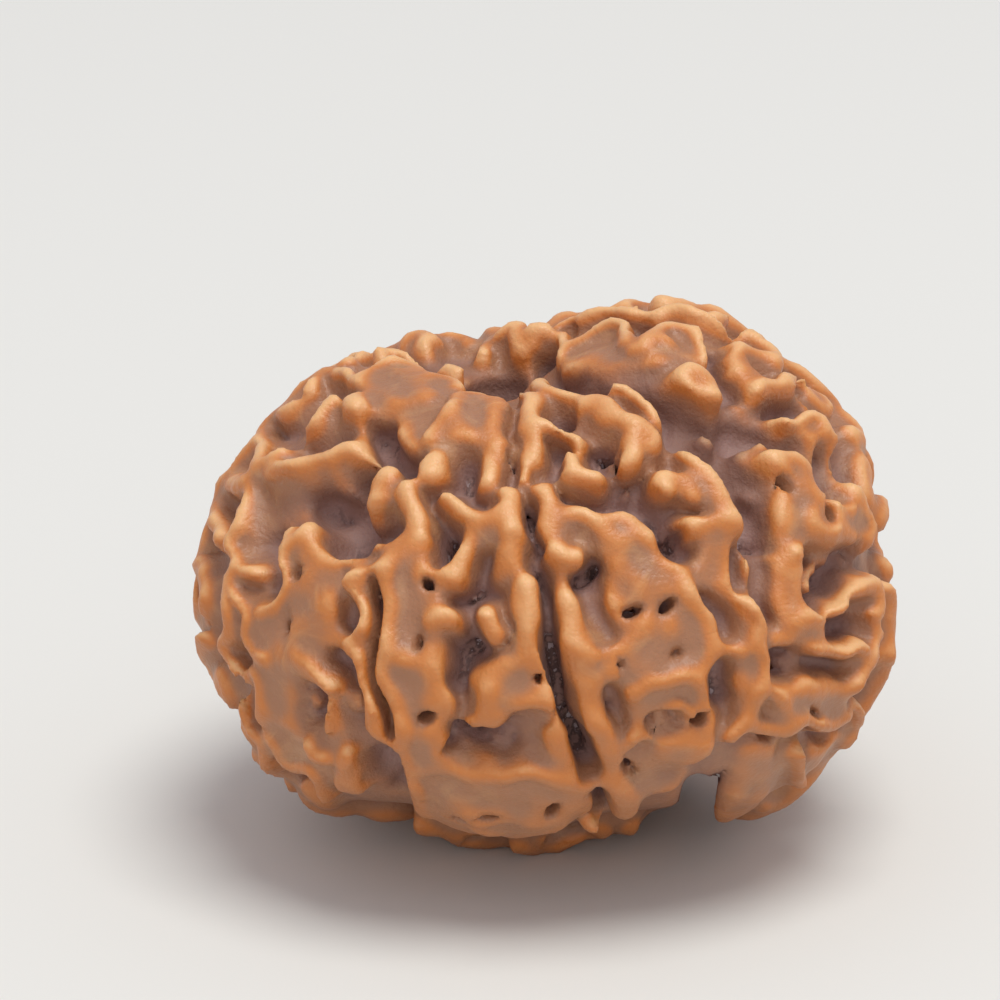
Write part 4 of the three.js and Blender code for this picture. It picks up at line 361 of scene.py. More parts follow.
    (0.52, 0, [(6.4, 9.35), (6.8, 9.2), (7.2, 8.85), (7.35, 8.4)], 0.25),
    (0.45, 0, [(7.7, 9.6, 0.2), (7.95, 10.3), (8.5, 10.4), (9.2, 10.05), (9.9, 9.6)], 0.5),
    (0.34, 0, [(9.1, 8.6), (9.4, 8.75), (10, 8.85), (10.6, 8.9), (11.2, 8.8)], 0.45),
    (0.29, 0.05, [(10.65, 8.6), (10.75, 8.2), (11.1, 8), (11.5, 8.1)]),
    (0.4, 0, [(10.2, 7.1), (10.6, 7.2), (11.1, 7.45), (11.5, 7.5), (11.9, 7.25), (12.15, 6.8),
        (12.35, 6.2), (12.4, 5.6)], 0.3),
    (0.29, 0, [(12.6, 6.2), (12.7, 5.5), (12.85, 4.7), (13, 4.3), (13.5, 4)], 0.2),
    (0.34, 0, [(13.1, 4.2), (13.6, 3.7), (14.05, 3), (14.15, 2.4), (14.05, 1.8)], 0.25),
    (0.32, 0, [(12.1, 3.8), (12.4, 3.5), (12.8, 3.45), (13.3, 3.3)], 0.35),
    (0.52, 0, [(9.8, 5.4), (10.4, 5.5), (10.9, 5.45), (11.25, 5.2), (11.4, 4.7), (11.6, 4.1)], 0.2),
    # Right lobe.
    (0.32, 0, [(11.5, 3.2), (11.6, 2.8), (12, 2.5), (12.5, 2.4)], 0.35),
    (0.32, 0.1, [(10.9, 1.3), (11.6, 1.6), (12.6, 1.55), (13.5, 1.6), (14, 1.7)], 0.25),
    (0.46, 0, [(11, -1.6, 0.2), (11.9, -1.25), (12.7, -0.75), (13.5, -0.15), (14.2, 0.1)], 0.25),
    (0.34, 0, [(11.3, -3.2), (12, -3), (13, -2.9), (13.8, -2.9)], 0.4),
    (0.34, 0, [(14.3, 0.2), (14.5, -0.8), (14.3, -1.4), (14.5, -2.1), (14.3, -2.8), (13.9, -3.6),
        (13.5, -4.3)], 0.25),
    (0.34, 0, [(13.5, -4.5), (13.6, -5.4), (13.4, -6.2), (12.9, -6.9)], 0.4),
    (0.34, 0.05, [(8.9, -6.2), (9.6, -6.25), (10.2, -6.3), (10.7, -5.9), (11.3, -6), (11.9, -6.15),
        (12.5, -6), (13, -5.9)], 0.15),
    (0.34, 0.1, [(10.7, -6.1), (10.3, -5.3), (10, -4.4)], 0.45),
    (0.25, 0.1, [(10.95, -7.5), (10.95, -8.1), (11.15, -8.6)], 0.3),
]

# Plates, ridges with flat tops: half width of the flat, edge radius, depth, chart points.
PLATES = [
    (0.35, 0.45, 0.8, [(-12.5, 3.6), (-12.7, 2.6), (-12.7, 1.8)]),
    (1, 0.5, 0.42, [(-7.2, 8.7), (-6.2, 8.6), (-5.3, 8.3)]),
    (0.9, 0.5, 0.72, [(-6.4, 7.9), (-6, 7.1), (-5.4, 6.7)]),
    (0.7, 0.55, 0.24, [(-3.1, 7.55), (-3.3, 6.8)]),
    (0.7, 0.5, 0.52, [(-3.7, 6.3), (-3.2, 6)]),
    (1.1, 0.45, 0.45, [(-9.9, 0), (-9.8, -1.6), (-9.7, -3)]),
    (0.35, 0.4, 0.35, [(-9.95, 2.4), (-9.9, 1)]),
    (0.8, 0.45, 0.47, [(-12, -1.7), (-11.6, -3.2), (-11.5, -4.8)]),
    (0.8, 0.5, 0.52, [(-11.3, -5.6), (-10.8, -7)]),
    (0.7, 0.5, 0.62, [(-9.3, -6.6), (-8.9, -8)]),
    (0.9, 0.6, 0.82, [(-11.1, -8.3), (-10.2, -8.9)]),
    (0.2, 0.35, 0.37, [(-7.7, 0.1), (-7.6, -1.4), (-7.9, -2.7), (-7.5, -4.2), (-7.2, -5.6)]),
    (0.8, 0.5, 0.47, [(-5.9, 0.9), (-5.9, -1), (-6.1, -2.6), (-5.8, -4.5), (-5.4, -6.4), (-5.1, -7.6)]),
    (0.35, 0.4, 0.42, [(-4.4, -1.7), (-4.4, -3.5), (-4.7, -5.5)]),
    (0.4, 0.4, 0.62, [(-4.8, 0.6), (-4.6, -0.6)]),
    (0.4, 0.4, 0.32, [(-3, 2.6), (-1.9, 2.6)]),
    (0.9, 0.5, 0.27, [(-1.7, -4.4), (-0.6, -4.4)]),
    (1.1, 0.6, 0.35, [(-4.2, -9.1), (-1.5, -9.4), (0.8, -9.2)]),
    (0.9, 0.6, 0.4, [(-3.6, -10), (-2, -10.4), (-0.4, -10.1), (0.8, -9.8)]),
    (0.4, 0.4, 0.72, [(-3.8, -7.9), (0, -7.6)]),
    (0.3, 0.4, 0.32, [(0.6, -6.3), (0.8, -7.4), (1.3, -8.8)]),
    (1, 0.5, 0.42, [(3.7, 1), (3.9, -0.6), (3.9, -2.4)]),
    (0.9, 0.5, 0.42, [(4.9, 0.4), (5.3, -1.4), (5.8, -3)]),
    (0.9, 0.5, 0.52, [(4.6, -5.4), (6.2, -5.4), (6, -6.8)]),
    (0.9, 0.6, 0.72, [(4.6, -7.8), (4.8, -8.4)]),
    (0.5, 0.4, 0.22, [(6.7, 2.5), (7.5, 2.4)]),
    (0.45, 0.4, 0.42, [(7.3, 1.5), (7.2, 0.5)]),
    (0.5, 0.4, 0.87, [(7.7, -0.9), (8, -1.9)]),
    (0.35, 0.35, 0.52, [(8.6, -1.3), (8.6, -3.2), (8.7, -4.8)]),
    (1.2, 0.5, 0.47, [(10.9, -4.9), (12.2, -5)]),
    (0.8, 0.5, 0.35, [(12, 2.3), (13.2, 2.5)]),
    (0.7, 0.5, 0.5, [(10.9, 3.6), (10.6, 1.8), (10.3, 0.2), (10.5, -1.4)]),
    (0.5, 0.4, 0.4, [(10.3, -2), (11.4, -2.4), (13.4, -2.7)]),
    (0.6, 0.5, 0.72, [(1.5, 9.8), (3, 9.8), (4.6, 9.9), (6, 10.2)]),
    (0.45, 0.5, 0.32, [(8.4, 9.6), (8.7, 9)]),
    (0.5, 0.5, 0.35, [(11.8, 8.1)]),
    (0.45, 0.4, 0.42, [(10.9, 6.8), (11.7, 6.6)]),
    (0.5, 0.5, 0.27, [(10.5, 5), (10.9, 4.6)]),
    (0.4, 0.5, 0.22, [(6.6, 8.8), (6.5, 8)]),
    (0.5, 0.6, 0.9, [(9.1, -7.2), (8.8, -8.4), (8.3, -9.4), (8.2, -9.9)]),
    (0.5, 0.5, 0.9, [(10.3, -7.4), (9.9, -8.6)]),
    (0.5, 0.5, 0.42, [(12.2, -6.9), (11.6, -7.4)]),
]

# Slits: radius, depth of the bed, chart points.
SLITS = [
    (0.13, 1.9, [(-0.75, 3.5), (-0.7, 2.9)]),
    (0.1, 1.5, [(-0.7, 2.5), (-0.1, 1.55)]),
    (0.12, 1.9, [(-0.05, 0.6), (0, -0.6), (0.15, -1.8)]),
    (0.22, 2.6, [(0.2, -2, -0.8), (0.3, -2.8, -0.3), (0.45, -3.5), (0.75, -4.5), (0.9, -5.3),
        (1.15, -5.9)]),
    (0.24, 2.7, [(1.4, -6.5), (1.65, -7.3), (1.85, -7.9)]),
    (0.18, 2.2, [(2.2, -8.8), (2.6, -9.8)]),
    (0.1, 1.5, [(-7.05, 0.2), (-7.1, -1), (-7.25, -2.5), (-7.2, -3.8), (-6.75, -5), (-6.6, -6.2)]),
    (0.14, 2, [(-6.5, -7), (-6.2, -8.4), (-5.8, -9.4)]),
]

# Pits: chart place, half width, half height, depth below the envelope, tilt in degrees.
PITS = [
    (-2.1, 9, 1.3, 0.5, 4.2, 3),
    (-3.2, 8.95, 0.35, 0.45, 3, 0),
    (-0.3, 9.75, 0.85, 0.15, 2.6, 38),
    (-9.7, 3.8, 0.6, 0.25, 2.9, 15),
    (-5.9, 4.95, 0.3, 0.45, 2.4, 45),
    (-10.65, 0.6, 0.2, 0.33, 1.3, -20),
    (-11, -1.8, 0.17, 0.25, 1.7, -20),
    (-8.65, -3.4, 0.22, 0.13, 1.9, -10),
    (-12.6, -4.7, 0.3, 0.7, 1.2, 0),
    (-7, -8.3, 0.3, 0.55, 2.2, -30),
    (-4.97, -0.05, 0.24, 0.34, 2, 15),
    (-5.45, -2.45, 0.15, 0.33, 1.8, -5),
    (-3.55, -4.55, 0.38, 0.33, 2.3, -15),
    (-5.1, -5.65, 0.42, 0.25, 1.6, 15),
    (-0.3, -4.1, 0.2, 0.22, 1.5, 0),
    (-4.1, -7.05, 0.38, 0.22, 1.8, 35),
    (-1.45, -6.1, 0.3, 0.1, 1.6, 0),
    (-3.6, -9.75, 0.25, 0.14, 1.4, 0),
    (-2.5, -9.7, 0.5, 0.13, 1.5, -3),
    (0.22, -9.45, 0.27, 0.33, 1.9, 0),
    (-1.55, 5.5, 0.12, 0.3, 2.2, 20),
    (0.75, 7.35, 0.36, 0.3, 2.4, -35),
    (0.4, 7.6, 0.3, 0.2, 1.3, 0),
    (2.5, 6, 0.35, 0.2, 2.8, 15),
    (3, 5.4, 0.15, 0.4, 2.4, -20),
    (5.65, 2, 0.27, 0.5, 2.6, -10),
    (2.25, 0.7, 0.15, 0.45, 2.6, -10),
    (1.6, 0.4, 0.3, 0.12, 2.3, 20),
    (3.65, -1.1, 0.5, 0.2, 1.7, 22),
    (5.1, -0.95, 0.42, 0.24, 1.7, 35),
    (5.6, -3.05, 0.25, 0.2, 1, 0),
    (3.35, -3.4, 0.13, 0.3, 1.5, -15),
    (2.8, -5.55, 0.22, 0.24, 1.5, -30),
    (3.55, -7.9, 0.14, 0.5, 1.6, 25),
    (6.7, -5.75, 0.45, 0.28, 1.7, 20),
    (7.65, -4.6, 0.2, 0.5, 2, 10),
    (9.7, 1.85, 0.35, 0.2, 2.9, -15),
    (9.2, 2.1, 0.2, 0.2, 2.6, 0),
    (7.6, 4.9, 0.6, 0.22, 3.4, -35),
    (10.2, 4.25, 0.16, 0.4, 2.2, 35),
    (1, 10.8, 0.2, 0.22, 1, 0),
    (10.9, 8.35, 0.22, 0.2, 1.1, 30),
    (11.9, 3.25, 0.28, 0.33, 2, -20),
    (11.35, -5.5, 0.3, 0.15, 0.9, -20),
    (9.7, -6.6, 0.4, 0.2, 1.8, 0),
    (11.1, -6.3, 0.45, 0.15, 1.8, -10),
    (12, -6.6, 0.4, 0.15, 1.8, 10),
]

# The gap beside the leg, open along the viewer's sight line: chart places, each with its radius.
GAP = [
    (7.55, -7.85, 0.12),
    (7, -8.5, 0.35),
    (6.55, -8.75, 0.75),
    (6.4, -9.6, 0.8),
    (5.9, -10.5, 1.2),
    (5.1, -10.6, 1.1),
]

# Growth of the sides that the chart doesn't show: the lobes' borders, degrees round the axis.
LOBE_BORDERS = [2, 38, 77, 115, 150, 190, 225, 260, 295, 332]
RULE_SEED = 1871
PLATE_SHARE = 0.7
PLATE_EDGE = 0.5

# How squarely a place may face the viewer and still count as unseen, and how much less on the
# underside, where the traced lobes run on a little way.
HIDDEN_FACING = 0.1
UNDERSIDE_SHIFT = 0.22

# The low spot that it rests on: its place round the axis, flat half width and edge radius.
REST_PLACE = (0, -88)
REST_FLAT = 1.3
REST_EDGE = 0.5

# How softly each kind of form runs into its neighbours, and how walls spread as they go down.
HOLLOW_BLEND = 0.25
RIDGE_BLEND = 0.17
CAVITY_BLEND = 0.2
PIT_BLEND = 0.08
WALL_REACH = 3.2
FLARE = 0.3
FLARE_REACH = 1.3
VALLEY_SLOPE = 0.25
SLIT_SLOPE = 0.12

# The step between the points of a smooth line.
LINE_STEP = 0.35

# How traced edges wander from their lines: shift and wavelength.
WANDER = [(0.11, 3.3), (0.05, 1.6)]

# Sight lines are followed over this stretch by steps, and then by halving the last step.
SIGHT_NEAR = VIEW_DISTANCE - 18
SIGHT_FAR = VIEW_DISTANCE + 4
SIGHT_STEP = 0.4
HALVINGS = 12

# How far apart places are taken to tell the way out of the seed, and the way aside on the chart.
OUTWARD_PROBE = 0.05
CHART_PROBE = 0.2

# A pit is stretched at most this much where the surface turns away from the viewer.
MOST_STRETCH = 2.2

# The growth rule: a valley's radius and bed, how far a lip lies from its border in degrees, how
# far the rungs stay clear of it, where they end, and the unit that angles are followed in.
HIDDEN_VALLEY_RADIUS = 0.45
HIDDEN_VALLEY_BED = 1.7
LIP_ASIDE = 4.6
RUNG_INSET = 4.5
LAST_RUNG = -66
ANGLE_UNIT = 4

# The block of the grid.
GRID_LOW = (-16.2, -15.4, -FLOOR_BELOW_MIDDLE - 0.9)
GRID_HIGH = (16.2, 15.4, 12.6)

# How far out a slot is followed, how far from the surface distances are told apart, and a
# distance beyond any form's reach.
SLOT_REACH = 2.6
FIELD_LIMIT = 2.5
FAR = 9.0

# A form is worked out as far round it as its blend is felt, and as edges wander.
BLEND_REACH = 5
WANDER_REACH = 0.25

# How the net of the mesh is evened out: rounds, share of the way, and how steep the field counts.
EVENING_ROUNDS = 3
EVENING_SHARE = 0.6
LEAST_SLOPE_SQUARED = 0.2

# How far round a place the two measures of openness look.
NEAR_OPENNESS = 0.45
WIDE_OPENNESS = 1.3

RIGHT = np.array([1.0, 0.0, 0.0])
SIGHT = np.array([0.0, math.cos(VIEW_ELEVATION), -math.sin(VIEW_ELEVATION)])
UPRIGHT = np.array([0.0, -SIGHT[2], SIGHT[1]])
VIEWER = -VIEW_DISTANCE * SIGHT + FRAME_MIDDLE[0] * RIGHT + FRAME_MIDDLE[1] * UPRIGHT
SILHOUETTE_HALF_HEIGHT = math.hypot(HALF_HEIGHT * SIGHT[1], HALF_DEPTH * SIGHT[2])


def unit(vectors):
    """Vectors brought to length 1."""
    return vectors / np.linalg.norm(vectors, axis=-1, keepdims=True)


def between(a, b, c, d, t):
    """A value between b and c on a smooth curve through the four."""
    slope_b = (c - a) / 2
    slope_c = (d - b) / 2
    bend = 3 * (c - b) - 2 * slope_b - slope_c
    twist = 2 * (b - c) + slope_b + slope_c
    return b + t * (slope_b + t * (bend + t * twist))


def outline_scales():
    """The outline's radius over the plain ellipse's, at each of its directions."""
    turns = 2 * np.pi * np.arange(len(OUTLINE)) / len(OUTLINE)
    plain = np.hypot(np.cos(turns) / HALF_WIDTH, np.sin(turns) / SILHOUETTE_HALF_HEIGHT)
    return np.array(OUTLINE) * plain


OUTLINE_SCALES = outline_scales()


def envelope(direction):
    """Distance from the middle to the envelope, along directions of length 1."""
    plain = 1 / np.linalg.norm(direction / np.array([HALF_WIDTH, HALF_DEPTH, HALF_HEIGHT]), axis=-1)
    across = direction[..., 0]
    up = direction @ UPRIGHT
    count = len(OUTLINE)
    place = ((np.arctan2(up, across) / (2 * np.pi) + 1) % 1) * count
    whole = np.floor(place).astype(int)
    scales = [OUTLINE_SCALES[(whole + k) % count] for k in (-1, 0, 1, 2)]
    radius = plain * (1 + (between(*scales, place - whole) - 1) * (across**2 + up**2))
    for to, reach, height in SWELLINGS:
        width = 1 - math.cos(math.radians(reach))
        radius = radius + height * np.exp((direction @ unit(np.array(to, float)) - 1) / width)
    return radius


def over_envelope(points):
    """How far points lie outside the envelope."""
    length = np.maximum(1e-6, np.linalg.norm(points, axis=-1))
    return length - envelope(points / length[..., None])


def outward(points):
    """The way out of the seed at points near its envelope."""
    steps = OUTWARD_PROBE * np.eye(3)
    slope = [over_envelope(points + s) - over_envelope(points - s) for s in steps]
    return unit(np.stack(slope, axis=-1))


def lay(chart, depth):
    """Where sight lines through chart places meet the level at a depth, or pass it closest."""
    chart = np.atleast_2d(chart)
    along = unit(chart[:, :1] * RIGHT + chart[:, 1:2] * UPRIGHT - VIEWER)
    steps = np.arange(SIGHT_NEAR, SIGHT_FAR, SIGHT_STEP)
    depth = np.broadcast_to(depth, len(chart))
    over = over_envelope(VIEWER + along[:, None, :] * steps[None, :, None]) + depth[:, None]
    meets = np.any(over < 0, axis=1)
    first = np.argmax(over < 0, axis=1)
    closest = np.argmin(over, axis=1)
    outside = steps[first] - SIGHT_STEP
    inside = steps[first].copy()
    for _ in range(HALVINGS):
        middle = (outside + inside) / 2
        within = over_envelope(VIEWER + along * middle[:, None]) + depth < 0
        inside = np.where(within, middle, inside)
        outside = np.where(within, outside, middle)
    reach = np.where(meets, inside, steps[closest])
    return VIEWER + along * reach[:, None]


def smooth_line(points):
    """Points a short step apart on a smooth curve through the given points."""
    points = np.array(points, float)
    last = len(points) - 1
    if last == 0:
        return points
    line = []
    for i in range(last):
        a, b, c, d = (points[min(max(k, 0), last)] for k in (i - 1, i, i + 1, i + 2))
        steps = max(1, math.floor(math.hypot(*(c - b)[:2]) / LINE_STEP + 0.5))
        line += [between(a, b, c, d, k / steps) for k in range(steps)]
    line.append(points[last])
    return np.array(line)


class Wall(NamedTuple):
    """A wall on a line of crest points: its flanks spread by a slope, and its top can be flat."""

    radius: float
    crests: np.ndarray
    outs: np.ndarray
    slope: float
    flat: float = 0.0


def chart_crests(line, depth, further):
    """Crest points of a traced line at a depth and then further down, and the way out at each."""
    whole = smooth_line([(*p, 0) if len(p) == 2 else p for p in line])
    at = lay(whole[:, :2], depth + whole[:, 2])
    out = outward(at)
    return at - out * further, out


def trench(radius, depth, line, slope):
    """A traced valley, cavity or slit: its bed lies at the depth, and its walls open by the slope."""
    return Wall(radius, *chart_crests(line, RIM_SINK, depth - RIM_SINK - radius), slope)


def bowl(at, out, aside, half_width, half_height, depth):
    """An ellipsoid with its own three axes."""
    side = unit(aside - out * (aside @ out))
    return at, np.array([side, np.cross(out, side), out]), np.array([half_width, half_height, depth])


def chart_bowl(u, v, half_width, half_height, depth, tilt):
    """A traced pit, as wide and high as the viewer sees it, and turned by a tilt."""
    lean = math.radians(tilt)
    to_side = (u + CHART_PROBE * math.cos(lean), v + CHART_PROBE * math.sin(lean))
    to_top = (u - CHART_PROBE * math.sin(lean), v + CHART_PROBE * math.cos(lean))
    at, side, top = lay([(u, v), to_side, to_top], RIM_SINK)
    wider, higher = (
        min(MOST_STRETCH, max(1, np.linalg.norm(end - at) / CHART_PROBE)) for end in (side, top)
    )
    return bowl(at, outward(at), side - at, half_width * wider, half_height * higher, depth - RIM_SINK)


class Draws:
    """Repeatable draws between two bounds."""

    MULTIPLIER = 16807
    MODULUS = 2147483647

    def __init__(self, state):
        self.state = state

    def __call__(self, low, high):
        self.state = (self.state * self.MULTIPLIER) % self.MODULUS
        return low + ((high - low) * self.state) / self.MODULUS


GROWTH_UP = unit(np.array(GROWTH_AXIS))
GROWTH_FRONT = unit(np.array([0.0, -1.0, 0.0]) + GROWTH_UP * GROWTH_UP[1])
GROWTH_SIDE = -np.cross(GROWTH_UP, GROWTH_FRONT)


def on_growth(longitude, latitude):
    """A point of the envelope by its angles round the growth axis."""
    lon = np.radians(np.asarray(longitude, float))[..., None]
    lat = np.radians(np.asarray(latitude, float))[..., None]
    level = GROWTH_FRONT * np.cos(lon) - GROWTH_SIDE * np.sin(lon)
    direction = level * np.cos(lat) + GROWTH_UP * np.sin(lat)
    return direction * envelope(direction)[..., None]


def unseen(points, out):
    """Whether the viewer can't see places; underneath, only past the ends of the traced lobes."""
    facing = np.sum(out * unit(VIEWER - points), axis=-1)
    return facing < HIDDEN_FACING - UNDERSIDE_SHIFT * np.maximum(0, -out[..., 2])


def hidden_runs(line, depth):
    """The stretches of a line round the axis that the viewer can't see, as crests at a depth."""
    angles = smooth_line(np.array(line) / ANGLE_UNIT) * ANGLE_UNIT
    at = on_growth(angles[:, 0], angles[:, 1])
    out = outward(at)
    runs = []
    start = None
    for i, is_hidden in enumerate([*unseen(at, out), False]):
        if is_hidden and start is None:
            start = i
        if not is_hidden and start is not None:
            if i - start > 1:
                runs.append((at[start:i] - out[start:i] * depth, out[start:i]))
            start = None
    return runs


class HiddenSides:
    """The sides that the chart doesn't show, grown lobe by lobe with repeatable draws."""

    def __init__(self):
        self.draw = Draws(RULE_SEED)
        self.valleys = []
        self.ridges = []
        self.hollows = []
        self.pits = []
        for border, after in zip(LOBE_BORDERS, [*LOBE_BORDERS[1:], LOBE_BORDERS[0] + 360]):
            self.grow_valley(border)
            self.grow_lip(border, 1)
            self.grow_lip(after, -1)
            self.grow_lobe(border, after)
        self.add_knob(on_growth(*REST_PLACE), REST_EDGE, REST_EDGE, REST_FLAT)

    def add_bowl(self, bowls, lon, lat, half_width, half_height, depth):
        """Adds a hollow or a pit where it is out of sight."""
        at = on_growth(lon, lat)
        out = outward(at)
        if unseen(at, out):
            bowls.append(bowl(at, out, on_growth(lon + 2, lat) - at, half_width, half_height, depth))

    def add_knob(self, at, radius, depth, flat=0.0):
        """Adds a knob where it is out of sight."""
        out = outward(at)
        if unseen(at, out):
            self.ridges.append(Wall(radius, (at - out * depth)[None], out[None], FLARE, flat))

    def grow_valley(self, border):
        """The valley between two lobes."""
        line = [(border + self.draw(-1.5, 1.5), lat) for lat in range(68, -85, -8)]
        for run in hidden_runs(line, HIDDEN_VALLEY_BED):
            self.valleys.append(Wall(HIDDEN_VALLEY_RADIUS, *run, VALLEY_SLOPE))

    def grow_lip(self, border, side):
        """The scalloped lip of a lobe beside its border, which runs wider near the poles."""
        line = []
        for lat in range(66, -79, -5):
            spread = min(1 / max(0.35, math.cos(math.radians(lat))), 1.9)
            lon = border + side * (LIP_ASIDE + self.draw(-1.2, 1.4)) * spread
            line.append((lon, lat + self.draw(-1, 1)))
        radius = self.draw(0.5, 0.65)
        self.ridges += [Wall(radius, *run, FLARE) for run in hidden_runs(line, radius + 0.05)]

    def grow_lobe(self, border, after):
        """Rungs across a lobe from its top down, and what fills the intervals between them."""
        middle = (border + after) / 2
        half = (after - border) / 2 - RUNG_INSET
        lat = self.draw(50, 60)
        while lat > LAST_RUNG:
            bow = self.draw(-7, 7)
            self.grow_rung(middle, half, lat, bow)
            gap = self.draw(12, 19)
            self.fill_interval(middle, lat - gap / 2 + bow / 2)
            lat -= gap

    def grow_rung(self, middle, half, lat, bow):
        """A bowed ridge across a lobe, whole or broken off at either end."""
        draw = self.draw
        start = draw(-0.3, 0.2) if draw(0, 1) < 0.3 else -1
        end = draw(0, 0.5) if start == -1 and draw(0, 1) < 0.35 else 1
        line = []
        for t in (0, 0.25, 0.5, 0.75, 1):
            lon = middle + half * (start + (end - start) * t)
            line.append((lon, lat + bow * 4 * t * (1 - t) + draw(-2.2, 2.2)))
        radius = draw(0.42, 0.62)
        depth = radius + draw(0, 0.25)
        self.ridges += [Wall(radius, *run, FLARE) for run in hidden_runs(line, depth)]

    def fill_interval(self, middle, level):
        """A plate in most intervals, and a hollow, two pits and two knobs in each."""
        draw = self.draw
        if draw(0, 1) < PLATE_SHARE:
            line = [(middle + end * draw(2, 7), level + draw(-3, 3)) for end in (-1, 1)]
            flat = draw(0.5, 1.2)
            depth = PLATE_EDGE + draw(0.3, 0.7)
            self.ridges += [Wall(PLATE_EDGE, *run, FLARE, flat) for run in hidden_runs(line, depth)]
        place = middle + draw(-7, 7), level + draw(-4, 4)
        self.add_bowl(self.hollows, *place, draw(0.6, 1.4), draw(0.4, 0.8), draw(1.5, 2.6))
        for _ in range(2):
            place = middle + draw(-9, 9), level + draw(-4, 4)
            self.add_bowl(self.pits, *place, draw(0.22, 0.5), draw(0.22, 0.42), draw(1.5, 2.6))
        for _ in range(2):
            at = on_growth(middle + draw(-9, 9), level + draw(-6, 6))
            radius = draw(0.3, 0.6)
            self.add_knob(at, radius, radius + draw(0, 0.6))


def traced_ridges():
    """The traced ridges and plates."""
    ridges = []
    for radius, sink, line, *slope in RIDGES:
        ridges.append(Wall(radius, *chart_crests(line, sink, radius), slope[0] if slope else FLARE))
    for flat, edge, sink, line in PLATES:
        ridges.append(Wall(edge, *chart_crests(line, sink, edge), FLARE, flat))
    return ridges


def wander(points):
    """Points moved a little, so that forms laid out by clean lines come out with live edges."""
    x, y, z = np.moveaxis(points, -1, 0)
    for shift, wavelength in WANDER:
        turn = 2 * math.pi / wavelength
        x, y, z = (
            x + shift * np.sin(turn * (y + 0.43 * z)),
            y + shift * np.sin(turn * (z + 0.37 * x) + 2),
            z + shift * np.sin(turn * (x + 0.41 * y) + 4),
        )
    return np.stack([x, y, z], axis=-1)


class Grid:
    """A block of evenly spaced points, and the same points wandered."""

    def __init__(self, low, high, step):
        self.low = np.array(low, float)
        self.step = step
        self.count = np.ceil((np.array(high) - self.low) / step).astype(int) + 1
        axes = [(self.low[k] + step * np.arange(self.count[k])).astype(np.float32) for k in range(3)]
        self.points = np.stack(np.meshgrid(*axes, indexing="ij"), axis=-1)
        self.wandered = wander(self.points)

    def window(self, low, high):
        """The slices between two corners, and the wandered points there."""
        a = np.clip(np.floor((low - self.low) / self.step).astype(int), 0, self.count)
        b = np.clip(np.ceil((high - self.low) / self.step).astype(int) + 1, 0, self.count)
        slices = tuple(slice(i, j) for i, j in zip(a, b))
        return slices, self.wandered[slices]


def segment_parts(points, start, end, out_start, out_end):
    """How far points rise over a crest's segment along the way out, and how far aside they are."""
    along = end - start
    from_start = points - start
    length_squared = float(along @ along)
    if length_squared > 0:
        t = np.clip(from_start @ along / length_squared, 0, 1)
    else:
        t = np.zeros(points.shape[:-1])
    t = t[..., None].astype(np.float32)
    out = unit(out_start + (out_end - out_start) * t)
    away = from_start - along * t
    rise = np.sum(away * out, axis=-1)
    aside = np.sqrt(np.maximum(0, np.sum(away * away, axis=-1) - rise * rise))
    return rise, aside


def ridge_distance(points, ridge, *segment):
    """Distance to a ridge: a round or flat crest on a wall that runs down into the seed."""
    rise, aside = segment_parts(points, *segment)
    aside = np.maximum(0, aside - ridge.flat)
    past = np.maximum(np.maximum(0, rise), -rise - WALL_REACH)
    spread = ridge.slope * np.clip(-rise, 0, FLARE_REACH)
    return np.hypot(past, aside) - ridge.radius - spread


def valley_distance(points, valley, *segment):
    """Distance to a valley: a round bed below an open slot that widens outwards."""
    rise, aside = segment_parts(points, *segment)
    return np.hypot(np.minimum(0, rise), aside) - valley.radius - valley.slope * np.maximum(0, rise)


def bowl_distance(points, at, axes, radii):
    """About how far points lie outside a bowl's ellipsoid."""
    along = (points - at) @ axes.T
    scaled = np.linalg.norm(along / radii, axis=-1)
    steepness = np.maximum(1e-9, np.linalg.norm(along / radii**2, axis=-1))
    return scaled * (scaled - 1) / steepness


def gap_distance(points):
    """Distance to the gap beside the leg, as the viewer sees it."""
    from_viewer = points - VIEWER
    scale = VIEW_DISTANCE / (from_viewer @ SIGHT)
    u = from_viewer @ RIGHT * scale + FRAME_MIDDLE[0]
    v = from_viewer @ UPRIGHT * scale + FRAME_MIDDLE[1]
    nearest = np.full(u.shape, FAR)
    for place_u, place_v, radius in smooth_line(GAP):
        nearest = np.minimum(nearest, np.hypot(u - place_u, v - place_v) - radius)
    return nearest


def add_lines(grid, total, walls, distance, blend, up, down):
    """Adds each line's nearness to a total, in a window round it that reaches up and down from it."""
    for wall in walls:
        margin = wall.radius + wall.flat + BLEND_REACH * blend + WANDER_REACH
        margin += wall.slope * (FLARE_REACH if down > 0 else up)
        tops = wall.crests + wall.outs * up
        beds = wall.crests - wall.outs * down
        corners = np.concatenate([tops, beds])
        window, points = grid.window(corners.min(0) - margin, corners.max(0) + margin)
        if points.size == 0:
            continue
        least = np.full(points.shape[:-1], FAR, np.float32)
        offset = np.array([s.start for s in window])
        for i in range(max(1, len(tops) - 1)):
            j = min(i + 1, len(tops) - 1)
            ends = np.array([tops[i], tops[j], beds[i], beds[j]])
            inner, _ = grid.window(ends.min(0) - margin, ends.max(0) + margin)
            part = tuple(slice(s.start - o, s.stop - o) for s, o in zip(inner, offset))
            near = distance(points[part], wall, wall.crests[i], wall.crests[j], wall.outs[i], wall.outs[j])
            least[part] = np.minimum(least[part], near)
        total[window] += np.exp(-least / blend)


def add_bowls(grid, total, bowls, blend):
    """Adds each bowl's nearness to a total, in a window round it."""
    for at, axes, radii in bowls:
        margin = radii.max() + BLEND_REACH * blend + WANDER_REACH
        window, points = grid.window(at - margin, at + margin)
        if points.size:
            total[window] += np.exp(-bowl_distance(points, at, axes, radii) / blend)


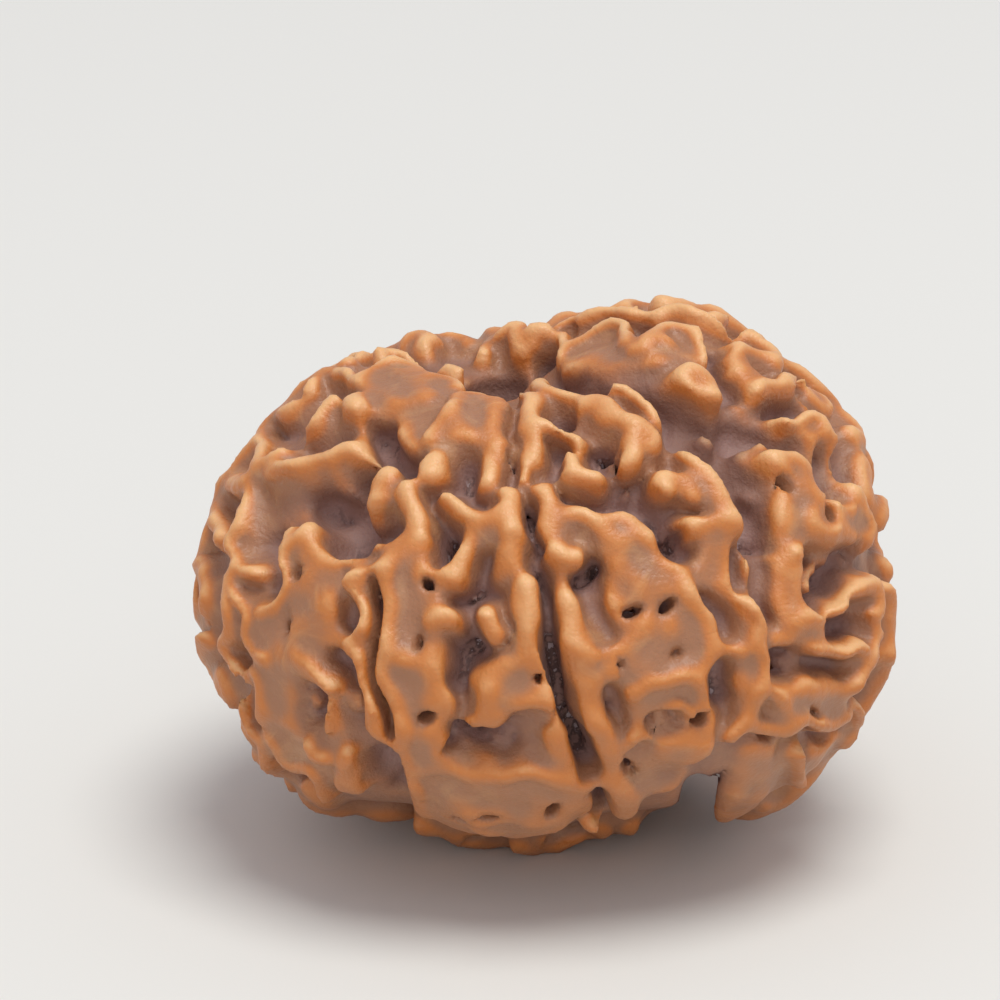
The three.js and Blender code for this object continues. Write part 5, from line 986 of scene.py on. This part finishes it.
def nearness(distances, blend):
    """How near a form is, from its distances; the sum over forms blends them softly."""
    return np.exp(-np.clip(distances, -FIELD_LIMIT, FIELD_LIMIT) / blend)


def cut(grid, field, blend, trenches, bowls=(), gaps=()):
    """A field with trenches, bowls and gaps taken out of it."""
    total = nearness(-field, blend)
    for distances in gaps:
        total += nearness(distances, blend)
    add_lines(grid, total, trenches, valley_distance, blend, SLOT_REACH, 0)
    add_bowls(grid, total, bowls, blend)
    return blend * np.log(total)


def raise_walls(grid, field, blend, walls):
    """A field with walls raised from it."""
    total = nearness(field, blend)
    add_lines(grid, total, walls, ridge_distance, blend, 0, WALL_REACH)
    return -blend * np.log(total)


def seed_field(step):
    """The grid and distances to the seed's surface, below zero inside."""
    grid = Grid(GRID_LOW, GRID_HIGH, step)
    hidden = HiddenSides()
    valleys = [trench(*valley, VALLEY_SLOPE) for valley in VALLEYS]
    cavities = [trench(*cavity, VALLEY_SLOPE) for cavity in CAVITIES]
    slits = [trench(*slit, SLIT_SLOPE) for slit in SLITS]
    pits = [chart_bowl(*pit) for pit in PITS]
    knobs = [Wall(radius, *chart_crests(line, sink, radius), FLARE) for radius, sink, line in INNER_KNOBS]
    field = over_envelope(grid.points) + BODY_SINK
    field = cut(grid, field, HOLLOW_BLEND, valleys + hidden.valleys)
    field = raise_walls(grid, field, RIDGE_BLEND, traced_ridges() + hidden.ridges)
    field = cut(grid, field, CAVITY_BLEND, cavities, hidden.hollows)
    field = raise_walls(grid, field, PIT_BLEND, knobs)
    field = cut(grid, field, PIT_BLEND, slits, pits + hidden.pits, [gap_distance(grid.points)])
    return grid, field.astype(np.float32)


def surface_net(grid, field):
    """Vertices and four-sided faces on the zero level of a field, one vertex for each mixed cell."""
    cells = grid.count - 1
    sums = [np.zeros(cells.prod()) for _ in range(4)]
    corners = []
    steps = np.eye(3, dtype=int)
    for axis in range(3):
        first = np.moveaxis(field, axis, 0)
        changes = (first[:-1] < 0) != (first[1:] < 0)
        crossing = np.argwhere(np.moveaxis(changes, 0, axis))
        a = field[tuple(crossing.T)]
        b = field[tuple((crossing + steps[axis]).T)]
        point = crossing + steps[axis] * (a / (a - b))[:, None]
        one = steps[(axis + 1) % 3]
        two = steps[(axis + 2) % 3]
        ring = [crossing, crossing - one, crossing - one - two, crossing - two]
        flat = [np.ravel_multi_index(tuple(cell.T), cells) for cell in ring]
        for cell in flat:
            for k in range(3):
                sums[k] += np.bincount(cell, point[:, k], len(sums[k]))
            sums[3] += np.bincount(cell, minlength=len(sums[3]))
        quads = np.stack(flat, axis=1)
        quads[a >= 0] = quads[a >= 0][:, ::-1]
        corners.append(quads)
    used = np.flatnonzero(sums[3])
    number = np.full(cells.prod(), -1)
    number[used] = np.arange(len(used))
    places = np.stack([sums[k][used] / sums[3][used] for k in range(3)], axis=1)
    return grid.low + places * grid.step, number[np.concatenate(corners)]


def sample(grid, values, points):
    """Values of a grid at points between its own."""
    place = (points - grid.low) / grid.step
    whole = np.clip(np.floor(place).astype(int), 0, grid.count - 2)
    t = place - whole
    total = 0
    for corner in np.ndindex(2, 2, 2):
        weight = np.prod(np.where(corner, t, 1 - t), axis=1)
        index = tuple((whole + corner).T)
        total = total + (values[index].T * weight).T
    return total


def biggest_body(points, faces):
    """The part of a mesh that holds together as its largest body."""
    label = np.arange(len(points))
    while True:
        least = label[faces].min(axis=1)
        new = label.copy()
        for k in range(4):
            np.minimum.at(new, faces[:, k], least)
        new = new[new]
        if np.array_equal(new, label):
            break
        label = new
    largest = np.bincount(label).argmax()
    kept = label == largest
    number = np.cumsum(kept) - 1
    return points[kept], number[faces[kept[faces[:, 0]]]]


def neighbour_average(points, faces):
    """The average of the middles of the faces round each point."""
    count = np.bincount(faces.ravel(), minlength=len(points))
    centres = points[faces].mean(axis=1)
    sums = [sum(np.bincount(faces[:, c], centres[:, k], len(points)) for c in range(4)) for k in range(3)]
    return np.stack(sums, axis=1) / count[:, None]


def relax(grid, field, points, faces):
    """Evens out a mesh's vertices and brings them back to the surface."""
    slope = np.stack(np.gradient(field, grid.step), axis=-1)
    for _ in range(EVENING_ROUNDS):
        points = points + EVENING_SHARE * (neighbour_average(points, faces) - points)
        for _ in range(2):
            value = sample(grid, field, points)
            way = sample(grid, slope, points)
            squared = np.maximum(LEAST_SLOPE_SQUARED, np.sum(way * way, axis=1))
            move = np.clip(value / squared, -0.5 * grid.step, 0.5 * grid.step)
            points = points - way * move[:, None]
    return points


def blurred(values, radius):
    """A block of values, each averaged with those up to a number of cells away, twice over."""
    for _ in range(2):
        for axis in range(3):
            widths = [(0, 0), (0, 0), (0, 0)]
            widths[axis] = (radius + 1, radius)
            total = np.cumsum(np.pad(values, widths, mode="edge"), axis=axis, dtype=np.float64)
            top = np.take(total, range(2 * radius + 1, total.shape[axis]), axis=axis)
            base = np.take(total, range(0, total.shape[axis] - 2 * radius - 1), axis=axis)
            values = ((top - base) / (2 * radius + 1)).astype(np.float32)
    return values


def stone_mesh(step):
    """The stone's points and faces, and what its material reads at each point."""
    grid, field = seed_field(step)
    field = np.maximum(field, -FLOOR_BELOW_MIDDLE - grid.points[..., 2])
    points, faces = biggest_body(*surface_net(grid, field))
    points = relax(grid, field, points, faces)
    points[:, 2] = np.maximum(points[:, 2], -FLOOR_BELOW_MIDDLE)
    filled = np.clip(0.5 - field / grid.step, 0, 1)
    traits = {
        "height": over_envelope(points),
        "open_fine": 1 - sample(grid, blurred(filled, round(NEAR_OPENNESS / step)), points),
        "open_wide": 1 - sample(grid, blurred(filled, round(WIDE_OPENNESS / step)), points),
    }
    return points, faces, traits


def add_node(tree, kind, settings, values, out=0):
    """Adds a node: its type, its settings, then the values or links of its sockets."""
    node = tree.nodes.new("ShaderNode" + kind)
    for name, value in settings.items():
        setattr(node, name, value)
    for name, value in values.items():
        if isinstance(value, Socket):
            tree.links.new(value.source, node.inputs[name])
        else:
            node.inputs[name].default_value = value
    return Socket(tree, node.outputs[out])


class Socket:
    """A shader socket that takes part in plain arithmetic: each operator adds its Math node."""

    def __init__(self, tree, source):
        self.tree = tree
        self.source = source

    def math(self, operation, *values):
        """A Math node on two values."""
        return add_node(self.tree, "Math", {"operation": operation}, dict(enumerate(values)))

    def __add__(self, other):
        return self.math("ADD", self, other)

    def __sub__(self, other):
        return self.math("SUBTRACT", self, other)

    def __mul__(self, other):
        return self.math("MULTIPLY", self, other)

    def __radd__(self, other):
        return self.math("ADD", other, self)

    def __rsub__(self, other):
        return self.math("SUBTRACT", other, self)

    def __rmul__(self, other):
        return self.math("MULTIPLY", other, self)

    def ramp(self, low, high):
        """0 at low and 1 at high, clamped and smooth between."""
        values = {"Value": self, "From Min": low, "From Max": high}
        return add_node(self.tree, "MapRange", {"interpolation_type": "SMOOTHSTEP"}, values)


class Shader:
    """A material and its nodes."""

    def __init__(self, name):
        self.material = bpy.data.materials.new(name)
        self.material.use_nodes = True
        self.tree = self.material.node_tree
        self.tree.nodes.clear()

    def node(self, kind, out=0, **values):
        """Adds a node; its sockets' names have underscores for spaces."""
        named = {name.replace("_", " "): value for name, value in values.items()}
        return add_node(self.tree, kind, {}, named, out)

    def attribute(self, name):
        """A value that the mesh holds at each of its points."""
        return add_node(self.tree, "Attribute", {"attribute_name": name}, {}, "Fac")

    def noise(self, vector, scale, detail, distortion=0.0):
        """A cloudy pattern, with its scale in waves a metre."""
        return self.node(
            "TexNoise", "Fac",
            Vector=vector, Scale=scale, Detail=detail, Roughness=0.55, Distortion=distortion,
        )

    def mix(self, factor, first, second):
        """A colour between two."""
        return add_node(self.tree, "Mix", {"data_type": "RGBA"}, {0: factor, 6: first, 7: second}, 2)

    def finish(self, shader):
        """The material, with a shader on its surface."""
        output = self.tree.nodes.new("ShaderNodeOutputMaterial")
        self.tree.links.new(shader.source, output.inputs["Surface"])
        return self.material


def colour_setting(name, description, default):
    """A colour that a user can change."""
    return bpy.props.FloatVectorProperty(
        name=name, description=description, default=(*default, 1.0), size=4, min=0, max=1, subtype="COLOR"
    )


class SeedSettings(bpy.types.PropertyGroup):
    """Sizes and colours of the seed's stone."""

    grid_step: bpy.props.FloatProperty(
        name="Grid step", description="Spacing of the grid that the form is worked out on",
        default=0.24 * MM, min=0.1 * MM, max=1 * MM, unit="LENGTH", precision=5,
    )
    # This colour is partly painted light: a painted highlight on the ridges' upward tops, and also the
    # real pale streaks.
    pale_highlight_and_streak: colour_setting("Crest", "Pale waxy tops of the ridges", (0.88, 0.52, 0.24))
    flank: colour_setting("Flank", "Strong orange of the ridges' sides", (0.63, 0.205, 0.04))
    # This colour is the plates' own, and it is also painted as shade on the underside.
    plate: colour_setting("Plate", "Duller tan of the flat plates and the underside", (0.40, 0.185, 0.095))
    cavity: colour_setting("Cavity", "Greyish brown of the hollows' floors", (0.25, 0.125, 0.09))
    # This colour is painted light: lighter than the cavity colour, it lifts the shade deep in the hollows.
    painted_hollow_lift: colour_setting("Hollow", "Dusty brown deep in the hollows", (0.35, 0.205, 0.175))
    pit: colour_setting("Pit", "Dark brown patches at the bottom of the pits", (0.15, 0.085, 0.075))
    # This colour is painted glints: pale grey specks in the deepest places.
    painted_pit_glint: colour_setting("Fleck", "Grey of the dry flecks in the pits", (0.52, 0.42, 0.43))


class StageSettings(bpy.types.PropertyGroup):
    """The floor and the light round the seed."""

    floor: colour_setting("Floor", "Pale matt surface under the seed", (0.80, 0.81, 0.77))
    key_power: bpy.props.FloatProperty(
        name="Key light", description="Power of the soft light above", default=3.9, min=0, unit="POWER"
    )
    fill_power: bpy.props.FloatProperty(
        name="Fill light", description="Power of the low light in front", default=0.5, min=0, unit="POWER"
    )
    sky: bpy.props.FloatProperty(
        name="Sky", description="Strength of the even light all round", default=0.52, min=0
    )


def stone_material(settings):
    """Waxy brown stone: orange ridges, dull plates and grey-brown hollows, with a painted highlight on the
    ridges' upward tops, painted shade on the underside, painted light lifting the deep hollows and painted
    glints in the pits.
    """
    s = Shader("seed_stone")
    names = ("pale_highlight_and_streak", "flank", "plate", "cavity", "painted_hollow_lift", "pit", "painted_pit_glint")
    pale_highlight_and_streak, flank, plate, cavity, painted_hollow_lift, pit, painted_pit_glint = (tuple(getattr(settings, name)) for name in names)
    place = s.node("TexCoord", "Object")
    height, open_fine, open_wide, upward = (
        s.attribute(name) for name in ("height", "open_fine", "open_wide", "upward")
    )
    cloud = s.noise(place, 190.0, 2.0)
    streak = s.noise(place, 420.0, 5.0, distortion=1.4)
    mottle = s.noise(place, 800.0, 4.0)
    speck = s.noise(place, 2600.0, 2.0)
    grain = s.noise(place, 5200.0, 3.0)

    # Where each finish lies: by height in millimetres, by how open a place is, and by its slope.
    raised = (height + 0.9 * (mottle - 0.5) + 0.7 * (cloud - 0.5)).ramp(-1.8, -0.7)
    edge = (open_fine + 0.05 * (streak - 0.5)).ramp(0.48, 0.63)
    # Painted highlight: open crests that face upward turn pale.
    top = open_fine.ramp(0.57, 0.72) * upward.ramp(-0.1, 0.95)
    # Painted shade: places that face downward turn toward the duller plate colour.
    painted_underside_shade = upward.ramp(0.15, -0.75)
    # Enclosed places, where painted light lifts the shade, and the deepest ones, where painted glints lie.
    deep = (open_wide + 0.1 * (mottle - 0.5)).ramp(0.42, 0.22)
    deepest = (open_wide + 0.16 * (mottle - 0.5)).ramp(0.28, 0.16)

    base = s.mix(edge, plate, flank)
    base = s.mix(streak.ramp(0.5, 0.7) * 0.18, base, pale_highlight_and_streak)
    # Painted shade underneath, then the painted highlight on the upward crest tops.
    base = s.mix(painted_underside_shade * 0.6, base, plate)
    base = s.mix(top * 0.9, base, pale_highlight_and_streak)
    base = s.mix(raised, cavity, base)
    # Painted light: the deep hollows are lightened to lift their shade.
    base = s.mix(deep, base, painted_hollow_lift)
    base = s.mix(deepest * speck.ramp(0.42, 0.56), base, pit)
    # Painted glints: pale grey specks in the deepest places.
    base = s.mix(deepest * speck.ramp(0.6, 0.68), base, painted_pit_glint)

    relief = mottle + 0.8 * streak + 0.35 * grain
    bump = s.node("Bump", "Normal", Strength=0.45, Distance=0.3 * MM, Height=relief)
    shader = s.node(
        "BsdfPrincipled", "BSDF",
        Base_Color=base,
        Roughness=0.34 + 0.16 * grain + 0.22 * (1.0 - raised),
        Normal=bump,
        Subsurface_Weight=0.08,
        Subsurface_Radius=(1.2 * MM, 0.5 * MM, 0.2 * MM),
        Subsurface_Scale=1.0,
        Specular_IOR_Level=0.5,
    )
    return s.finish(shader)


def mesh_object(name, points, faces, material):
    """A smooth mesh object from points in metres and four-sided faces."""
    mesh = bpy.data.meshes.new(name)
    mesh.vertices.add(len(points))
    mesh.vertices.foreach_set("co", np.asarray(points, np.float32).ravel())
    mesh.loops.add(faces.size)
    mesh.loops.foreach_set("vertex_index", faces.astype(np.int32).ravel())
    mesh.polygons.add(len(faces))
    mesh.polygons.foreach_set("loop_start", np.arange(0, faces.size, 4, dtype=np.int32))
    mesh.update(calc_edges=True)
    mesh.validate()
    mesh.shade_smooth()
    mesh.materials.append(material)
    made = bpy.data.objects.new(name, mesh)
    bpy.context.collection.objects.link(made)
    return made


class SEED_OT_stone(bpy.types.Operator):
    """Builds the stone on a fine grid and lays it in the frame's box"""

    bl_idname = "seed.stone"
    bl_label = "Build the stone"

    def execute(self, context):
        settings = context.scene.seed_settings
        points, faces, traits = stone_mesh(settings.grid_step / MM)
        low, high = (np.array(corner) / MM for corner in CAD_BOX)
        shift = (low + high) / 2 - (points.min(0) + points.max(0)) / 2
        shift[2] = FLOOR_BELOW_MIDDLE
        context.scene["seed_middle"] = list(shift)
        stone = mesh_object("seed_stone", (points + shift) * MM, faces, stone_material(settings))
        normals = np.empty(3 * len(points), np.float32)
        stone.data.vertex_normals.foreach_get("vector", normals)
        # Which way each point faces: it places the painted highlight on top and the painted shade
        # underneath.
        traits["upward"] = normals[2::3]
        for name, values in traits.items():
            attribute = stone.data.attributes.new(name, "FLOAT", "POINT")
            attribute.data.foreach_set("value", values.astype(np.float32))
        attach(stone, "root")
        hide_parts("stone")
        return {"FINISHED"}


def lay_floor(colour):
    """The plain matt floor."""
    s = Shader("stage_floor")
    shader = s.node("BsdfPrincipled", "BSDF", Base_Color=colour, Roughness=0.85)
    half = 1.5
    corners = np.array([(-half, -half, 0), (half, -half, 0), (half, half, 0), (-half, half, 0)])
    mesh_object("stage_floor", corners, np.array([[0, 1, 2, 3]]), s.finish(shader))


def hang_light(name, place, target, width, power, colour):
    """A round soft light that faces a target."""
    light = bpy.data.lights.new(name, "AREA")
    light.shape = "DISK"
    light.size = width
    light.energy = power
    light.color = colour
    made = bpy.data.objects.new(name, light)
    bpy.context.collection.objects.link(made)
    made.location = place
    made.rotation_euler = (Vector(target) - Vector(place)).to_track_quat("-Z", "Y").to_euler()


def light_sky(scene, strength):
    """The even light all round."""
    world = bpy.data.worlds.new("stage_sky")
    world.use_nodes = True
    background = world.node_tree.nodes["Background"]
    background.inputs["Color"].default_value = (0.96, 0.93, 1.0, 1)
    background.inputs["Strength"].default_value = strength
    scene.world = world


def set_camera(scene, middle):
    """The camera at the viewer's place, with a lens that holds the frame's width."""
    lens = bpy.data.cameras.new("camera")
    lens.sensor_width = 36
    lens.lens = lens.sensor_width * VIEW_DISTANCE / FRAME_WIDTH
    lens.clip_start = 0.01
    camera = bpy.data.objects.new("camera", lens)
    scene.collection.objects.link(camera)
    camera.location = (middle + VIEWER) * MM
    camera.rotation_euler = (math.pi / 2 - VIEW_ELEVATION, 0, 0)
    scene.camera = camera


class SEED_OT_stage(bpy.types.Operator):
    """Lays the pale floor, hangs the soft lights and sets up the camera"""

    bl_idname = "seed.stage"
    bl_label = "Build the stage"

    def execute(self, context):
        scene = context.scene
        settings = scene.stage_settings
        middle = np.array(scene["seed_middle"])
        aim = tuple(middle * MM)
        lay_floor(tuple(settings.floor))
        hang_light("key", (0.14, -0.12, 0.80), aim, 0.46, settings.key_power, (1.0, 0.99, 0.96))
        hang_light("fill", (-0.05, -0.70, 0.30), aim, 0.5, settings.fill_power, (1.0, 0.98, 0.95))
        light_sky(scene, settings.sky)
        set_camera(scene, middle)
        scene.view_settings.view_transform = "Standard"
        return {"FINISHED"}


class SEED_PT_panel(bpy.types.Panel):
    """The seed's sizes, colours and build steps"""

    bl_idname = "SEED_PT_panel"
    bl_label = "Rudraksha seed"
    bl_space_type = "VIEW_3D"
    bl_region_type = "UI"
    bl_category = "Seed"

    def draw(self, context):
        for settings in (context.scene.seed_settings, context.scene.stage_settings):
            for name in settings.__annotations__:
                self.layout.prop(settings, name)
        for operator in OPERATORS:
            self.layout.operator(operator.bl_idname)


OPERATORS = (SEED_OT_stone, SEED_OT_stage)
CLASSES = (SeedSettings, StageSettings, *OPERATORS, SEED_PT_panel)


def register():
    for made in CLASSES:
        bpy.utils.register_class(made)
    bpy.types.Scene.seed_settings = bpy.props.PointerProperty(type=SeedSettings)
    bpy.types.Scene.stage_settings = bpy.props.PointerProperty(type=StageSettings)


def unregister():
    del bpy.types.Scene.seed_settings
    del bpy.types.Scene.stage_settings
    for made in reversed(CLASSES):
        bpy.utils.unregister_class(made)


def main():
    register()
    bpy.ops.seed.stone()
    bpy.ops.seed.stage()


if __name__ == "__main__":
    main()
